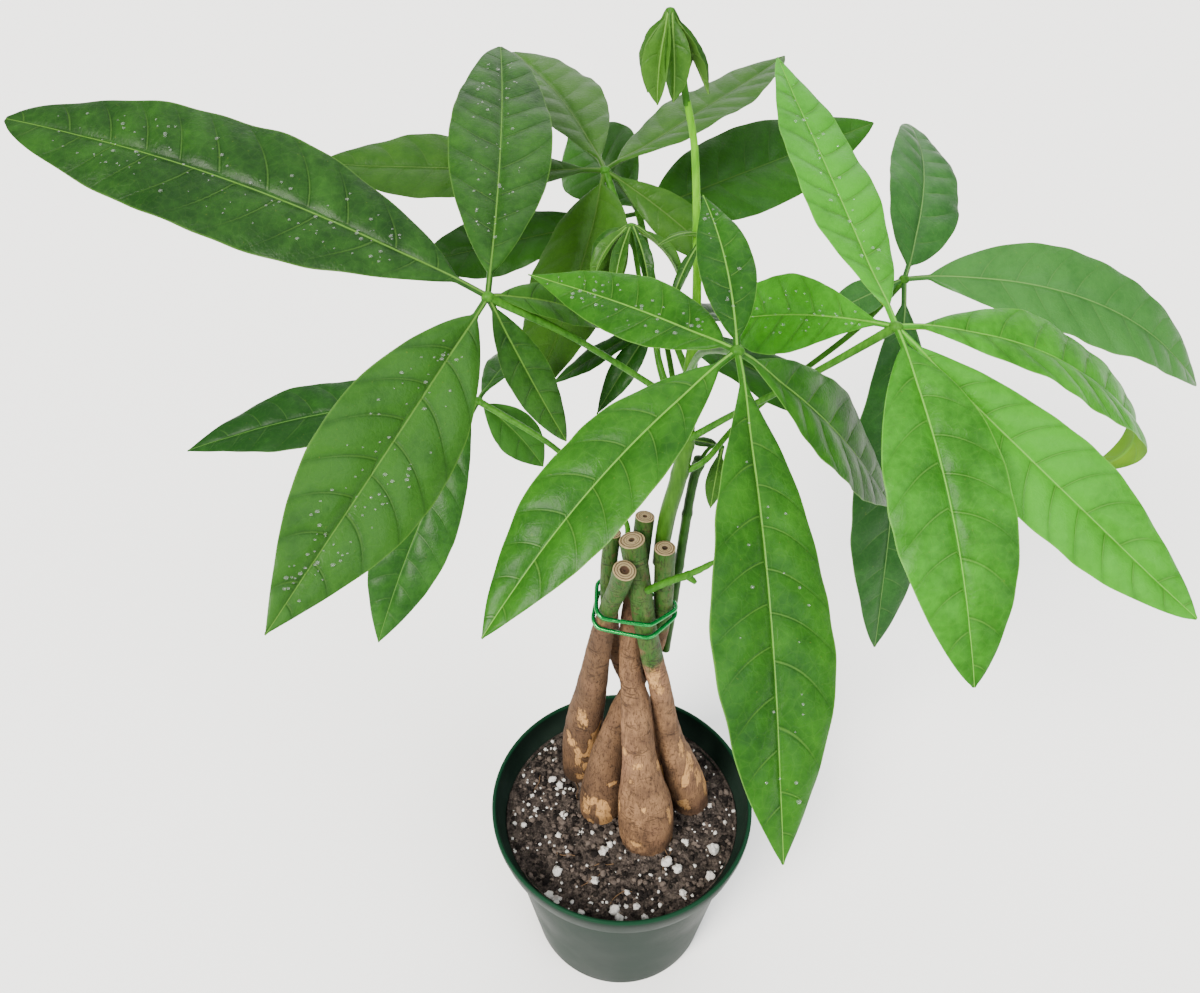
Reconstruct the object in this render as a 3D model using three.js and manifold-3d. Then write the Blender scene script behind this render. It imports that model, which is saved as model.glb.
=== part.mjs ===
// A potted money tree: five tied trunks with swollen bases in a nursery pot of dark soil, green
// shoots from the pruned tops, and palmate leaves of long drooping leaflets.
// Millimetres, +Z up. The origin is the middle of the pot's underside.
import * as THREE from 'three';
import { mergeVertices } from 'three/addons/utils/BufferGeometryUtils.js';
import Module from 'manifold-3d';

const wasm = await Module();
wasm.setup();

// Pot: a five inch nursery pot.
const rimDiameter = 127;
const potHeight = 102;
const baseDiameter = 91;
const wall = 1.8;
const rimBand = 13; // height of the wider band round the mouth
const rimStep = 6; // how far the band stands out from the body
const bandTaper = 1.6; // how much narrower the band is at its foot
const potSides = 40;
const drainHoles = 6;
const drainDiameter = 9;
const drainCircle = 62;

// Soil.
const soilTop = 90;
const soilRings = 5;
const soilSpread = 1.5; // how far the soil's edge spreads above the pot's step
const gap = 0.3; // clear space between touching pieces

// Leaves.
const bladeThickness = 0.8;
const stalkThickness = 1.7; // of the pale stalk that joins a leaflet to its hub
const stalkWidth = 1.9;
const stalkShare = 0.06; // of a leaflet's length
const midribChannel = 0.22; // slope of each half away from the midrib
const crown = 0.2; // how far each half bends back down to its edge
const edgeWave = 0.007; // of a leaflet's length
const baseTaper = 0.85; // how straight a blade widens from its stalk
const foldedChannel = 0.9; // slope of the halves of a young folded leaflet
const hubDiameter = 4.2;
const petioleDiameter = 2.4;

// Tie: one wire wound twice round the trunks from the back, with its height at each quarter turn.
const wireDiameter = 1.5;
const wireHeights = [244.5, 243.6, 241, 238.6, 237.6, 236, 233.4, 234.6, 233.4];
const wireSteps = 44;
const wireClear = 0.75; // from the trunks' mean surface

const colours = {
  pot: new THREE.MeshStandardMaterial({ color: 0x33493f, roughness: 0.5 }),
  soil: new THREE.MeshStandardMaterial({ color: 0x2c211b, roughness: 1 }),
  bark: new THREE.MeshStandardMaterial({ color: 0xa98463, roughness: 0.85 }),
  tie: new THREE.MeshStandardMaterial({ color: 0x0c9440, roughness: 0.25, metalness: 0.6 }),
  stem: new THREE.MeshStandardMaterial({ color: 0x6fa32f, roughness: 0.5 }),
  darkStem: new THREE.MeshStandardMaterial({ color: 0x3f7428, roughness: 0.55 }),
  leafBright: new THREE.MeshStandardMaterial({ color: 0x4f9a2c, roughness: 0.4 }),
  leafDark: new THREE.MeshStandardMaterial({ color: 0x38752b, roughness: 0.45 }),
};

// Each trunk is a row of [x, y, z, diameter] from its root in the soil to its cut top.
const trunks = {
  trunk_left: [
    [-20, 25, 60, 13], [-20, 25, 90, 19.5], [-19.3, 23, 112, 20], [-18, 18.5, 141, 18],
    [-15.5, 14, 162, 15.4], [-13.8, 9, 181, 13.8], [-12, 5, 200, 11.8], [-10.3, 1, 217, 10.2],
    [-8.2, -2.5, 234, 8.8], [-6.2, -5.5, 247, 8.2], [-3.6, -9, 259, 8.2], [-1.6, -12.5, 271.5, 9],
  ],
  trunk_front: [
    [12.5, -13, 56, 14], [12, -12.5, 84, 25], [11.3, -12, 104, 26.4], [10.4, -11, 118, 24.6],
    [8.6, -10, 134, 19.8], [7, -8, 149, 15.9], [5.8, -6.5, 166, 14.4], [4.4, -4.5, 183, 12.2],
    [2.5, 0, 199, 10.4], [2, 3, 214, 9.4], [2, 4.5, 228, 8.6], [3.1, 5, 240, 8],
    [4.4, 6, 253, 7.8], [6.5, 8, 280, 7.6],
  ],
  trunk_right: [
    [36, 7, 60, 12], [34.4, 6, 88, 18.8], [31.4, 4.5, 107, 19.4], [25.8, 3, 131, 15.6],
    [21.6, 2, 148, 13], [18.6, 1, 164, 11.4], [16.6, -0.6, 180, 10.4], [14.2, -3.3, 196, 9.6],
    [11.4, -4, 210, 9.4], [8.9, -5.5, 224, 9.2], [6.8, -6, 238, 9.2], [5.2, -5.2, 251, 9.4],
    [3.2, -3.4, 265, 9.7], [1.2, -3, 278, 9.9],
  ],
  trunk_middle: [
    [-11, 1, 58, 14], [-10, 2, 90, 21.4], [-8.9, 3, 108, 21.2], [-7.6, 4.5, 128, 17],
    [-4.4, 6.5, 145, 13], [-0.6, 8, 162, 10.8], [3.6, 8.2, 176, 9.4], [8.9, 7.6, 194, 8.5],
    [12.6, 5.5, 209, 8.3], [14.4, 2, 228, 8.1], [14.6, 0, 242, 8], [14, -1, 272, 8.2],
  ],
  trunk_back: [
    [19, 26, 60, 12], [17.8, 25, 90, 19], [15.4, 24, 110, 17], [11, 21.5, 139, 12.6],
    [4, 20, 166, 10], [-1.8, 16, 189, 8.8], [-5.5, 12, 208, 8], [-6.6, 8, 227, 7.4],
    [-7.4, 5.6, 243, 6.9], [-7.1, 5.2, 259, 6.7], [-5.7, 5.4, 274, 6.4],
  ],
};

// Green shoots, as rows of [x, y, z, diameter].
const mainShoot = [
  [12.6, 7.6, 256, 5.2], [13.7, 6.8, 270, 6.3], [15, 5.2, 285, 6.4], [17.6, 4, 301, 6.2],
  [19.4, 3.2, 318, 5.8], [19.4, 3.2, 337, 5.3], [19.4, 3.4, 351, 4.6], [19.9, 3.6, 364, 3.4],
  [19.8, 4, 376, 2.9], [18.6, 5, 397, 2.5], [16.5, 6, 422, 2.2], [13.6, 6.9, 436, 2],
];
const sideShoot = [
  [17.6, 9, 202, 3.8], [19.2, 9.2, 228, 4.1], [21.8, 10.2, 266, 3.9], [23.8, 11.5, 291, 3.7],
  [26, 12, 305, 4.4],
];
const brokenTwig = [
  [7.6, -8.7, 257, 3], [13.6, -12, 264.5, 3], [21.5, -15, 271.7, 2.8], [26.3, -17, 277, 2.4],
  [31.2, -18, 282, 1.6],
];
const twigNub = [[21.5, -15, 271.7, 2.8], [24.6, -15.8, 268.6, 2]];

// Each leaf has the stalk's way from the shoot to the hub, and its leaflets as rows of
// [bearing, rise, length, width, droop, turn, belly, point, swing]: the way a leaflet leaves the hub
// in plan and above level, its size, how far it bends down by its tip, how far its face turns about
// its midrib, its outline's belly and point, and how far it swings sideways by its tip.
const leaves = {
  leaf_left: {
    shoot: mainShoot,
    stalk: [[19.4, 3.2, 333], [6.7, 1, 344.8], [-10.7, -6, 362], [-23, -12, 374], [-43, -20, 390]],
    leaflets: [
      [164, 24, 158, 41, 23, 26, 0.95, 0.6, -3], [87, 26, 126, 33, 22, -5, 0.95, 0.6, 9],
      [26.5, -12, 50, 13, 38, -37, 0.95, 0.9, 19], [342, -66, 53, 14, -2, -47, 1, 0.75, 7],
      [237.5, -28, 112, 38, 2, 49, 0.9, 1, -4],
    ],
  },
  leaf_front: {
    shoot: mainShoot,
    stalk: [[19.4, 3.3, 343], [17.6, -12, 359], [18.2, -30, 377], [20.6, -45, 388], [24, -60, 397]],
    leaflets: [
      [132, -3, 76, 20, 3, 30, 0.8, 1.1, 11], [90, 32, 52, 15, 18, 7, 0.9, 1, 15],
      [18.5, -39, 97, 30, 21, -37, 1.05, 0.95, 9], [276, -22, 126, 33, 35, 20, 1.15, 0.9, -3],
      [215.5, -17, 97, 27, 27, 11, 0.95, 0.9, 9],
    ],
  },
  leaf_right: {
    shoot: mainShoot,
    stalk: [[19.4, 3.2, 320], [32.5, -8, 339], [43, -16, 352.5], [57, -24, 369], [73, -30, 386]],
    leaflets: [
      [130.5, -13, 70, 26, 19, 56, 1.4, 0.8, 3], [101, 20, 117, 26, 0, -8, 0.9, 0.8, 3],
      [9, -3, 110, 33, 54, -14, 1, 0.75, -2], [322, -29, 120, 30, 7, -33, 1.05, 0.75, 14],
      [282, -20, 104, 34, 42, -10, 0.95, 0.75, 2],
    ],
  },
  leaf_far_right: {
    shoot: mainShoot,
    stalk: [[18.2, 3.7, 305], [27, 3.5, 311], [38, 14, 318], [57, 28, 327], [82, 38, 344], [96, 40, 363]],
    leaflets: [
      [66, 27, 104, 31, 34, -26, 0.8, 0.6, 23], [351, 12, 130, 35, 63, -32, 0.9, 0.7, 14],
      [200, -12, 30, 13, 8, 30, 1.15, 0.9, 0], [267, -43, 137, 35, 34, 20, 0.95, 0.8, 0],
    ],
  },
  leaf_back: {
    shoot: mainShoot,
    stalk: [[19.4, 3.3, 346], [15, 13, 353], [9, 28, 363], [-1, 45, 378], [-9, 60, 394]],
    leaflets: [
      [184, 3, 98, 30, 1, 21, 1.15, 0.85, -3], [105.5, 12, 104, 34, 13, -1, 1.15, 0.6, 11],
      [45, 10, 105, 30, 4, 6, 0.95, 0.75, 4], [338, -23, 54, 16, 19, -48, 1.2, 1, 3],
      [256.5, -37, 90, 36, -14, -17, 0.8, 0.75, -10],
    ],
  },
  leaf_back_low: {
    shoot: mainShoot,
    stalk: [[19.4, 3.2, 315], [17, 15, 326], [13, 34, 342], [8, 58, 358], [4, 80, 369]],
    leaflets: [
      [37, 3, 121, 37, -3, -37, 0.8, 0.75, -7], [108, 7, 82, 36, 15, 40, 1.15, 0.95, 5],
      [191, -7, 86, 28, 8, 29, 1.5, 0.8, -12],
    ],
  },
  leaf_centre: {
    shoot: mainShoot,
    stalk: [[19.4, 3.2, 323], [14, 10, 332], [10, 17, 342], [8, 25, 354]],
    leaflets: [
      [185, -28, 42, 11, 9, 8, 1.05, 0.8, -1], [223, -39, 37, 10, 15, 19, 0.9, 1, -9],
      [345, -17, 82, 24, 8, -10, 1.15, 0.85, 0], [45, -10, 55, 19, 16, 0, 1.15, 0.85, 0],
    ],
  },
  leaf_left_low: {
    shoot: trunks.trunk_right,
    stalk: [
      [2, -1, 264], [0, 3.4, 271], [-0.6, 5, 279], [-6, 10, 285.5], [-19, 21, 293], [-33, 33, 298],
      [-59, 50, 304],
    ],
    leaflets: [
      [70.5, 12, 53, 19, 25, 14, 1.15, 0.85, -10], [351.5, -38, 40, 18, 26, -51, 1, 0.85, 2],
      [238, -33, 106, 31, 28, 28, 1.05, 0.9, -6], [184.5, 5, 116, 32, 22, 13, 1.05, 0.95, 8],
    ],
  },
  leaf_small: {
    shoot: sideShoot,
    stalkDiameter: 1.6,
    hubDiameter: 2,
    stalk: [[26, 12, 304], [30, 15, 308], [34.5, 17, 306.5]],
    leaflets: [
      [250, -52, 24, 7, 24, 20, 1.1, 0.85, 0], [140, -6, 15, 5, 20, 15, 1.1, 0.85, 0],
    ],
  },
  leaf_bud: {
    shoot: mainShoot,
    stalkDiameter: 1.4,
    hubDiameter: 2,
    stalk: [[18.6, 5, 397], [21, 4, 397]],
    leaflets: [
      [196, 30, 16, 3, 70, 0, 1.1, 0.85, 0], [232, -20, 24, 4, 50, 0, 1.1, 0.85, 0],
    ],
  },
  // Young leaves still hang folded round the end of their own stalk.
  young_leaf_back: {
    shoot: mainShoot,
    fold: foldedChannel,
    stalkDiameter: 1.8,
    hubDiameter: 4.2,
    stalk: [[19.4, 3.2, 329], [12.3, 11, 339.5], [8, 16.5, 352.5], [3.7, 21, 366], [-0.5, 27, 389]],
    leaflets: [
      [190, -8, 19, 5, 72, 0, 1.1, 0.85, 0], [218, -8, 23, 5.5, 72, 0, 1.1, 0.85, 0],
      [250, -8, 24, 5, 72, 0, 1.1, 0.85, 0], [290, -8, 24, 5, 72, 0, 1.1, 0.85, 0],
      [335, -8, 27, 5, 72, 0, 1.1, 0.85, 0],
    ],
  },
  young_leaf_top: {
    shoot: mainShoot,
    fold: foldedChannel,
    stalkDiameter: 1.8,
    hubDiameter: 3.4,
    stalk: [[13.6, 6.9, 435], [11.3, 7.4, 446], [9.6, 7.9, 453], [7.9, 8.4, 459]],
    leaflets: [
      [180, -72, 24, 6.5, 14, 0, 1.1, 0.85, 0], [240, -68, 25, 7, 18, 0, 1.1, 0.85, 0],
      [290, -66, 25, 7, 20, 0, 1.1, 0.85, 0], [350, -58, 24, 6, 8, 0, 1.1, 0.9, 0],
      [45, -66, 23, 7, 18, 0, 1.1, 0.85, 0], [110, -70, 22, 6.5, 16, 0, 1.1, 0.85, 0],
    ],
  },
};

const vector = (row) => new THREE.Vector3(row[0], row[1], row[2]);
const radians = THREE.MathUtils.degToRad;

// A solid whose faces meet only at shared corners.
function solidFrom(geometry) {
  const bare = geometry.clone();
  bare.deleteAttribute('normal');
  bare.deleteAttribute('uv');
  const merged = mergeVertices(bare, 1e-4);
  return new wasm.Manifold(new wasm.Mesh({
    numProp: 3,
    vertProperties: new Float32Array(merged.attributes.position.array),
    triVerts: new Uint32Array(merged.index.array),
  }));
}

function geometryFrom(solid) {
  const { numProp, vertProperties, triVerts } = solid.getMesh();
  const corners = new Float32Array((vertProperties.length / numProp) * 3);
  for (let i = 0; i < corners.length / 3; i += 1) {
    for (let k = 0; k < 3; k += 1) corners[i * 3 + k] = vertProperties[i * numProp + k];
  }
  const geometry = new THREE.BufferGeometry();
  geometry.setAttribute('position', new THREE.BufferAttribute(corners, 3));
  geometry.setIndex(new THREE.BufferAttribute(new Uint32Array(triVerts), 1));
  geometry.computeVertexNormals();
  return geometry;
}

const join = (solids) => solids.reduce((sum, next) => sum.add(next));

function named(name, solid, material) {
  const mesh = new THREE.Mesh(geometryFrom(solid.simplify(0.02)), material);
  mesh.name = name;
  return mesh;
}

// A round stem that follows rows of [x, y, z, diameter]. grow widens it all along, and knobs
// swells it a little by a formula of the height and the angle.
function stem(rows, { sides = 8, rings = rows.length * 2, grow = 0, knobs = 0 } = {}) {
  const way = new THREE.CatmullRomCurve3(rows.map(vector), false, 'catmullrom', 0.5);
  const girth = new THREE.CatmullRomCurve3(
    rows.map((row) => new THREE.Vector3(row[3], 0, 0)), false, 'catmullrom', 0.5,
  );
  const frames = way.computeFrenetFrames(rings, false);
  const geometry = new THREE.CylinderGeometry(1, 1, 1, sides, rings);
  const place = geometry.attributes.position;
  for (let i = 0; i < place.count; i += 1) {
    const ring = Math.round((0.5 - place.getY(i)) * rings);
    const along = ring / rings;
    const centre = way.getPointAt(along);
    if (ring === 0) centre.addScaledVector(frames.tangents[0], -grow);
    if (ring === rings) centre.addScaledVector(frames.tangents[rings], grow);
    const turn = Math.atan2(place.getZ(i), place.getX(i));
    const swell = 1 + knobs * Math.sin(3 * turn + centre.z / 9) * Math.sin(centre.z / 5 + turn);
    const radius = (girth.getPoint(way.getUtoTmapping(along)).x / 2) * swell + grow;
    centre.addScaledVector(frames.normals[ring], place.getX(i) * radius);
    centre.addScaledVector(frames.binormals[ring], place.getZ(i) * radius);
    place.setXYZ(i, centre.x, centre.y, centre.z);
  }
  return solidFrom(geometry);
}

// Half width of a leaflet along its blade, from 0 at the stalk to 1 at its widest. A larger belly
// moves the widest place towards the tip, and a larger point draws the tip out.
const outline = (t, belly, point) => (
  Math.sin(Math.PI * t ** belly) ** THREE.MathUtils.lerp(baseTaper, point, t)
);

// One leaflet: a thin bent blade with a sunk midrib, crowned halves and waved edges.
function leaflet(hub, row, fold) {
  const [bearing, rise, length, width, droop, turn, belly, point, swing] = row;
  const stations = 5 + Math.round(length / 32);
  const across = length < 40 ? 2 : 4;
  const corners = [];
  const spine = hub.clone();
  const heading = (share) => radians(bearing + swing * share);
  const way = (share) => {
    const climb = radians(rise - droop * share);
    return new THREE.Vector3(
      Math.cos(climb) * Math.cos(heading(share)), Math.cos(climb) * Math.sin(heading(share)),
      Math.sin(climb),
    );
  };
  const steps = 200;
  let walked = 0;
  for (let j = 0; j <= stations; j += 1) {
    const t = j < 2 ? 0 : 1 - (1 - (j - 1) / (stations - 1)) ** 1.3;
    const share = j === 0 ? 0 : stalkShare + (1 - stalkShare) * t;
    while (walked < Math.round(share * steps)) {
      spine.addScaledVector(way((walked + 0.5) / steps), length / steps);
      walked += 1;
    }
    const full = outline(Math.min(t, 0.997), belly, point);
    const half = Math.max((width / 2) * full, stalkWidth * (t < 0.5 ? 0.5 : 0.2));
    const thick = THREE.MathUtils.lerp(stalkThickness, bladeThickness, Math.min(1, t * 6));
    const ahead = way(share);
    const level = new THREE.Vector3(Math.sin(heading(share)), -Math.cos(heading(share)), 0);
    const up = new THREE.Vector3().crossVectors(level, ahead);
    const side = level.clone().applyAxisAngle(ahead, radians(-turn));
    up.applyAxisAngle(ahead, radians(-turn));
    for (const face of [1, -1]) {
      for (let i = 0; i <= across; i += 1) {
        const v = (2 * i) / across - 1;
        const waves = 2.6 + (Math.sign(v) * bearing) / 400;
        const ripple = edgeWave * length * Math.sin(2 * Math.PI * waves * t + bearing) * v * v * full;
        const lift = half * (fold * Math.abs(v) - crown * v * v) + ripple + (face * thick) / 2;
        corners.push(spine.clone().addScaledVector(side, v * half).addScaledVector(up, lift));
      }
    }
  }
  return solidFrom(bladeFaces(corners, stations, across));
}

// Faces of a blade whose corners run across the top and then the underside, station by station.
// Both faces are split along the same diagonals.
function bladeFaces(corners, stations, across) {
  const faces = [];
  const row = across + 1;
  const top = (j, i) => j * 2 * row + i;
  const under = (j, i) => top(j, i) + row;
  for (let j = 0; j < stations; j += 1) {
    for (let i = 0; i < across; i += 1) {
      faces.push(top(j, i), top(j, i + 1), top(j + 1, i), top(j, i + 1), top(j + 1, i + 1), top(j + 1, i));
      faces.push(under(j, i), under(j + 1, i), under(j, i + 1));
      faces.push(under(j, i + 1), under(j + 1, i), under(j + 1, i + 1));
    }
    faces.push(top(j, 0), top(j + 1, 0), under(j, 0), under(j, 0), top(j + 1, 0), under(j + 1, 0));
    faces.push(top(j, across), under(j, across), top(j + 1, across));
    faces.push(under(j, across), under(j + 1, across), top(j + 1, across));
  }
  for (let i = 0; i < across; i += 1) {
    faces.push(top(0, i), under(0, i), top(0, i + 1), under(0, i), under(0, i + 1), top(0, i + 1));
    faces.push(top(stations, i), top(stations, i + 1), under(stations, i));
    faces.push(under(stations, i), top(stations, i + 1), under(stations, i + 1));
  }
  const geometry = new THREE.BufferGeometry().setFromPoints(corners);
  geometry.setIndex(faces);
  return geometry;
}

function ball(centre, diameter) {
  const geometry = new THREE.SphereGeometry(diameter / 2, 7, 5);
  geometry.translate(centre.x, centre.y, centre.z);
  return solidFrom(geometry);
}

const trunk = (rows, grow = 0) => stem(rows, { sides: 12, rings: rows.length + 4, knobs: 0.03, grow });

// A stalk meets its shoot or trunk in a hollow that keeps just clear of the bark.
function seated(solid, rows) {
  const host = Object.values(trunks).includes(rows) ? trunk(rows, gap) : stem(rows, { grow: gap });
  return solid.subtract(host);
}

function leaf(values) {
  const { shoot, stalk, leaflets, fold = midribChannel, stalkDiameter = petioleDiameter } = values;
  const hub = vector(stalk[stalk.length - 1]);
  const way = stem(stalk.map((place) => [...place, stalkDiameter]), { sides: 6 });
  const knot = ball(hub, values.hubDiameter ?? hubDiameter);
  return seated(join([way, knot, ...leaflets.map((row) => leaflet(hub, row, fold))]), shoot);
}

function pot() {
  const rim = rimDiameter / 2;
  const body = rim - rimStep;
  const foot = baseDiameter / 2;
  const bandFoot = potHeight - rimBand;
  const profile = [
    [0, 0], [foot - 1.5, 0], [foot, 1.5], [body, bandFoot], [rim - bandTaper, bandFoot + 0.8],
    [rim, potHeight - 4], [rim, potHeight], [rim - wall, potHeight],
    [rim - bandTaper - wall, bandFoot + 2], [body - wall, bandFoot - 1], [foot - wall, wall], [0, wall],
  ];
  const shell = new THREE.LatheGeometry(profile.map(([r, z]) => new THREE.Vector2(r, z)), potSides);
  shell.rotateX(Math.PI / 2);
  let solid = solidFrom(shell);
  for (let i = 0; i < drainHoles; i += 1) {
    const turn = (2 * Math.PI * (i + 0.5)) / drainHoles;
    const hole = new THREE.CylinderGeometry(drainDiameter / 2, drainDiameter / 2, 8, 8);
    hole.rotateX(Math.PI / 2);
    hole.translate((drainCircle / 2) * Math.cos(turn), (drainCircle / 2) * Math.sin(turn), 0);
    solid = solid.subtract(solidFrom(hole));
  }
  return solid;
}

// Height of the soil's crumbly top.
function crumb(x, y) {
  const slope = 0.8 * Math.sin(x / 14 + 1) + 0.7 * Math.cos(y / 11);
  const grain = 0.9 * Math.sin(x / 2.9 + 2 * Math.sin(y / 5)) * Math.sin(y / 3.1 + 1.5 * Math.sin(x / 6));
  return soilTop + slope + grain;
}

// The soil fills the tapered body up to the step under the band.
function soil() {
  const foot = baseDiameter / 2 - wall - gap;
  const mouth = rimDiameter / 2 - rimStep - wall - gap;
  const floor = wall + gap;
  const side = soilTop - 2;
  const reach = foot + ((mouth - foot) * (side - floor)) / (potHeight - rimBand - 1 - floor) - 0.15;
  const profile = [[0, floor], [foot, floor], [reach, side], [reach + soilSpread, soilTop - 0.2]];
  for (let ring = soilRings; ring > 0; ring -= 1) {
    profile.push([((reach - 0.4) * ring) / soilRings, soilTop]);
  }
  profile.push([0, soilTop]);
  const earth = new THREE.LatheGeometry(profile.map(([r, z]) => new THREE.Vector2(r, z)), potSides);
  earth.rotateX(Math.PI / 2);
  const place = earth.attributes.position;
  for (let i = 0; i < place.count; i += 1) {
    if (Math.abs(place.getZ(i) - soilTop) < 0.01) place.setZ(i, crumb(place.getX(i), place.getY(i)));
  }
  return solidFrom(earth);
}

// The wire lies taut round the outside of the trunks it holds.
function tie() {
  const held = Object.values(trunks).map((rows) => [
    new THREE.CatmullRomCurve3(rows.map(vector), false, 'catmullrom', 0.5),
    new THREE.CatmullRomCurve3(
      rows.map((row) => new THREE.Vector3(row[3], 0, 0)), false, 'catmullrom', 0.5,
    ),
  ]);
  const fall = new THREE.CatmullRomCurve3(
    wireHeights.map((z) => new THREE.Vector3(z, 0, 0)), false, 'catmullrom', 0.5,
  );
  const points = [];
  for (let i = 0; i <= wireSteps; i += 1) {
    const turn = Math.PI / 2 + (4 * Math.PI * i) / wireSteps;
    const out = new THREE.Vector3(Math.cos(turn), Math.sin(turn), 0);
    const z = fall.getPoint(i / wireSteps).x;
    const touching = held.map(([way, girth]) => {
      const t = parameterAt(way, z);
      const reach = girth.getPoint(t).x / 2 + wireClear + wireDiameter / 2;
      return way.getPoint(t).addScaledVector(out, reach);
    });
    touching.sort((a, b) => b.dot(out) - a.dot(out));
    points.push(touching[0].setZ(z));
  }
  const rows = points.map((point) => [point.x, point.y, point.z, wireDiameter]);
  return stem(rows, { sides: 6, rings: wireSteps });
}

// The share of a rising curve at which it reaches height z.
function parameterAt(way, z) {
  let low = 0;
  let high = 1;
  for (let i = 0; i < 24; i += 1) {
    const middle = (low + high) / 2;
    if (way.getPoint(middle).z < z) low = middle;
    else high = middle;
  }
  return (low + high) / 2;
}

const model = new THREE.Group();
model.add(named('pot', pot(), colours.pot));

let earth = soil();
for (const [name, rows] of Object.entries(trunks)) {
  model.add(named(name, trunk(rows), colours.bark));
  earth = earth.subtract(trunk(rows, gap));
}
model.add(named('soil', earth, colours.soil));
model.add(named('tie_wire', tie(), colours.tie));

model.add(named('shoot_main', seated(stem(mainShoot), trunks.trunk_front), colours.stem));
model.add(named('shoot_side', seated(stem(sideShoot), trunks.trunk_middle), colours.darkStem));
const twig = join([stem(brokenTwig, { sides: 6, rings: 8 }), stem(twigNub, { sides: 6, rings: 2 })]);
model.add(named('broken_twig', seated(twig, trunks.trunk_right), colours.stem));

for (const [name, parts] of Object.entries(leaves)) {
  const dark = ['leaf_far_right', 'leaf_back', 'leaf_back_low', 'leaf_centre', 'leaf_left_low'];
  model.add(named(name, leaf(parts), dark.includes(name) ? colours.leafDark : colours.leafBright));
}

export default model;
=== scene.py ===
# A potted money tree, finished over its CAD frame: waved leaves with sunk veins and water drops,
# cracked bark with peeled patches, sawn trunk ends, crumbly soil with perlite and a plastic pot.
# Tables are in millimetres and degrees, in the same frame as the CAD.
import math
import random

import bpy
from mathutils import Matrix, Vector, noise


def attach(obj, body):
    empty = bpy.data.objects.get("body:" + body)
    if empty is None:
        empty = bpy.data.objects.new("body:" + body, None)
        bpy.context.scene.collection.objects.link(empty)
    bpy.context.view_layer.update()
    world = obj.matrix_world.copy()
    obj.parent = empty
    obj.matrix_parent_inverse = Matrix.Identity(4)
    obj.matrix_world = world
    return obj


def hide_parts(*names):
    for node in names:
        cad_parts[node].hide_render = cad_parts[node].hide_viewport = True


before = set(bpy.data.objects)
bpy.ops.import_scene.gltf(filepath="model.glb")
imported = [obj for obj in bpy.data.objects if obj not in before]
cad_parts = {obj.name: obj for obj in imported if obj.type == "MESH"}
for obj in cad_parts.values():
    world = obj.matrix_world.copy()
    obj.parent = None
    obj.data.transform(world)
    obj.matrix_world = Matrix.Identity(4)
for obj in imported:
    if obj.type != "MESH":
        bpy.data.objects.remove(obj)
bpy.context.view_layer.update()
mm = 0.001
random.seed(7)            # the same crumbs, grains and drops each run


# Colours are written as they look on a screen.
def colour(text):
    parts = [int(text[i:i + 2], 16) / 255 for i in (1, 3, 5)]
    return tuple(c / 12.92 if c <= 0.04045 else ((c + 0.055) / 1.055) ** 2.4 for c in parts) + (1.0,)


def newMaterial(name, roughness=0.5, metallic=0.0, specular=0.5):
    made = bpy.data.materials.new(name)
    made.use_nodes = True
    tree = made.node_tree
    shader = tree.nodes["Principled BSDF"]
    shader.inputs["Roughness"].default_value = roughness
    shader.inputs["Metallic"].default_value = metallic
    shader.inputs["Specular IOR Level"].default_value = specular
    return made, tree, shader


def setInput(tree, socket, value):
    if isinstance(value, bpy.types.NodeSocket):
        tree.links.new(value, socket)
    else:
        socket.default_value = value


def calc(tree, operation, a, b=0.0):
    node = tree.nodes.new("ShaderNodeMath")
    node.operation = operation
    setInput(tree, node.inputs[0], a)
    setInput(tree, node.inputs[1], b)
    return node.outputs[0]


def times(tree, a, b):
    return calc(tree, "MULTIPLY", a, b)


def plus(tree, a, b):
    return calc(tree, "ADD", a, b)


def minus(tree, a, b):
    return calc(tree, "SUBTRACT", a, b)


# How far a value lies from a middle one.
def awayFrom(tree, value, middle):
    return calc(tree, "ABSOLUTE", minus(tree, value, middle))


def blendColour(tree, share, a, b):
    node = tree.nodes.new("ShaderNodeMix")
    node.data_type = "RGBA"
    setInput(tree, node.inputs["Factor"], share)
    setInput(tree, node.inputs[6], a)
    setInput(tree, node.inputs[7], b)
    return node.outputs[2]


# Lays a colour over what is there, where the share says so.
def tintOver(tree, body, share, strength, text):
    return blendColour(tree, times(tree, share, strength), body, colour(text))


def rangeOf(tree, value, low, high, outLow=0.0, outHigh=1.0):
    node = tree.nodes.new("ShaderNodeMapRange")
    node.interpolation_type = "SMOOTHSTEP"
    for socket, number in zip(node.inputs, (value, low, high, outLow, outHigh)):
        setInput(tree, socket, number)
    return node.outputs[0]


def noiseOf(tree, vector, scale, detail=4.0, rough=0.55, distortion=0.0):
    node = tree.nodes.new("ShaderNodeTexNoise")
    node.inputs["Scale"].default_value = scale
    node.inputs["Detail"].default_value = detail
    node.inputs["Roughness"].default_value = rough
    node.inputs["Distortion"].default_value = distortion
    tree.links.new(vector, node.inputs["Vector"])
    return node.outputs[0]


# Distance to the edges of irregular cells.
def cellEdges(tree, vector, scale):
    node = tree.nodes.new("ShaderNodeTexVoronoi")
    node.feature = "DISTANCE_TO_EDGE"
    node.inputs["Scale"].default_value = scale
    tree.links.new(vector, node.inputs["Vector"])
    return node.outputs[0]


def placeOf(tree, scale=(1, 1, 1), shift=(0, 0, 0)):
    where = tree.nodes.new("ShaderNodeTexCoord")
    mapping = tree.nodes.new("ShaderNodeMapping")
    mapping.inputs["Scale"].default_value = scale
    mapping.inputs["Location"].default_value = shift
    tree.links.new(where.outputs["Object"], mapping.inputs["Vector"])
    return mapping.outputs[0]


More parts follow.
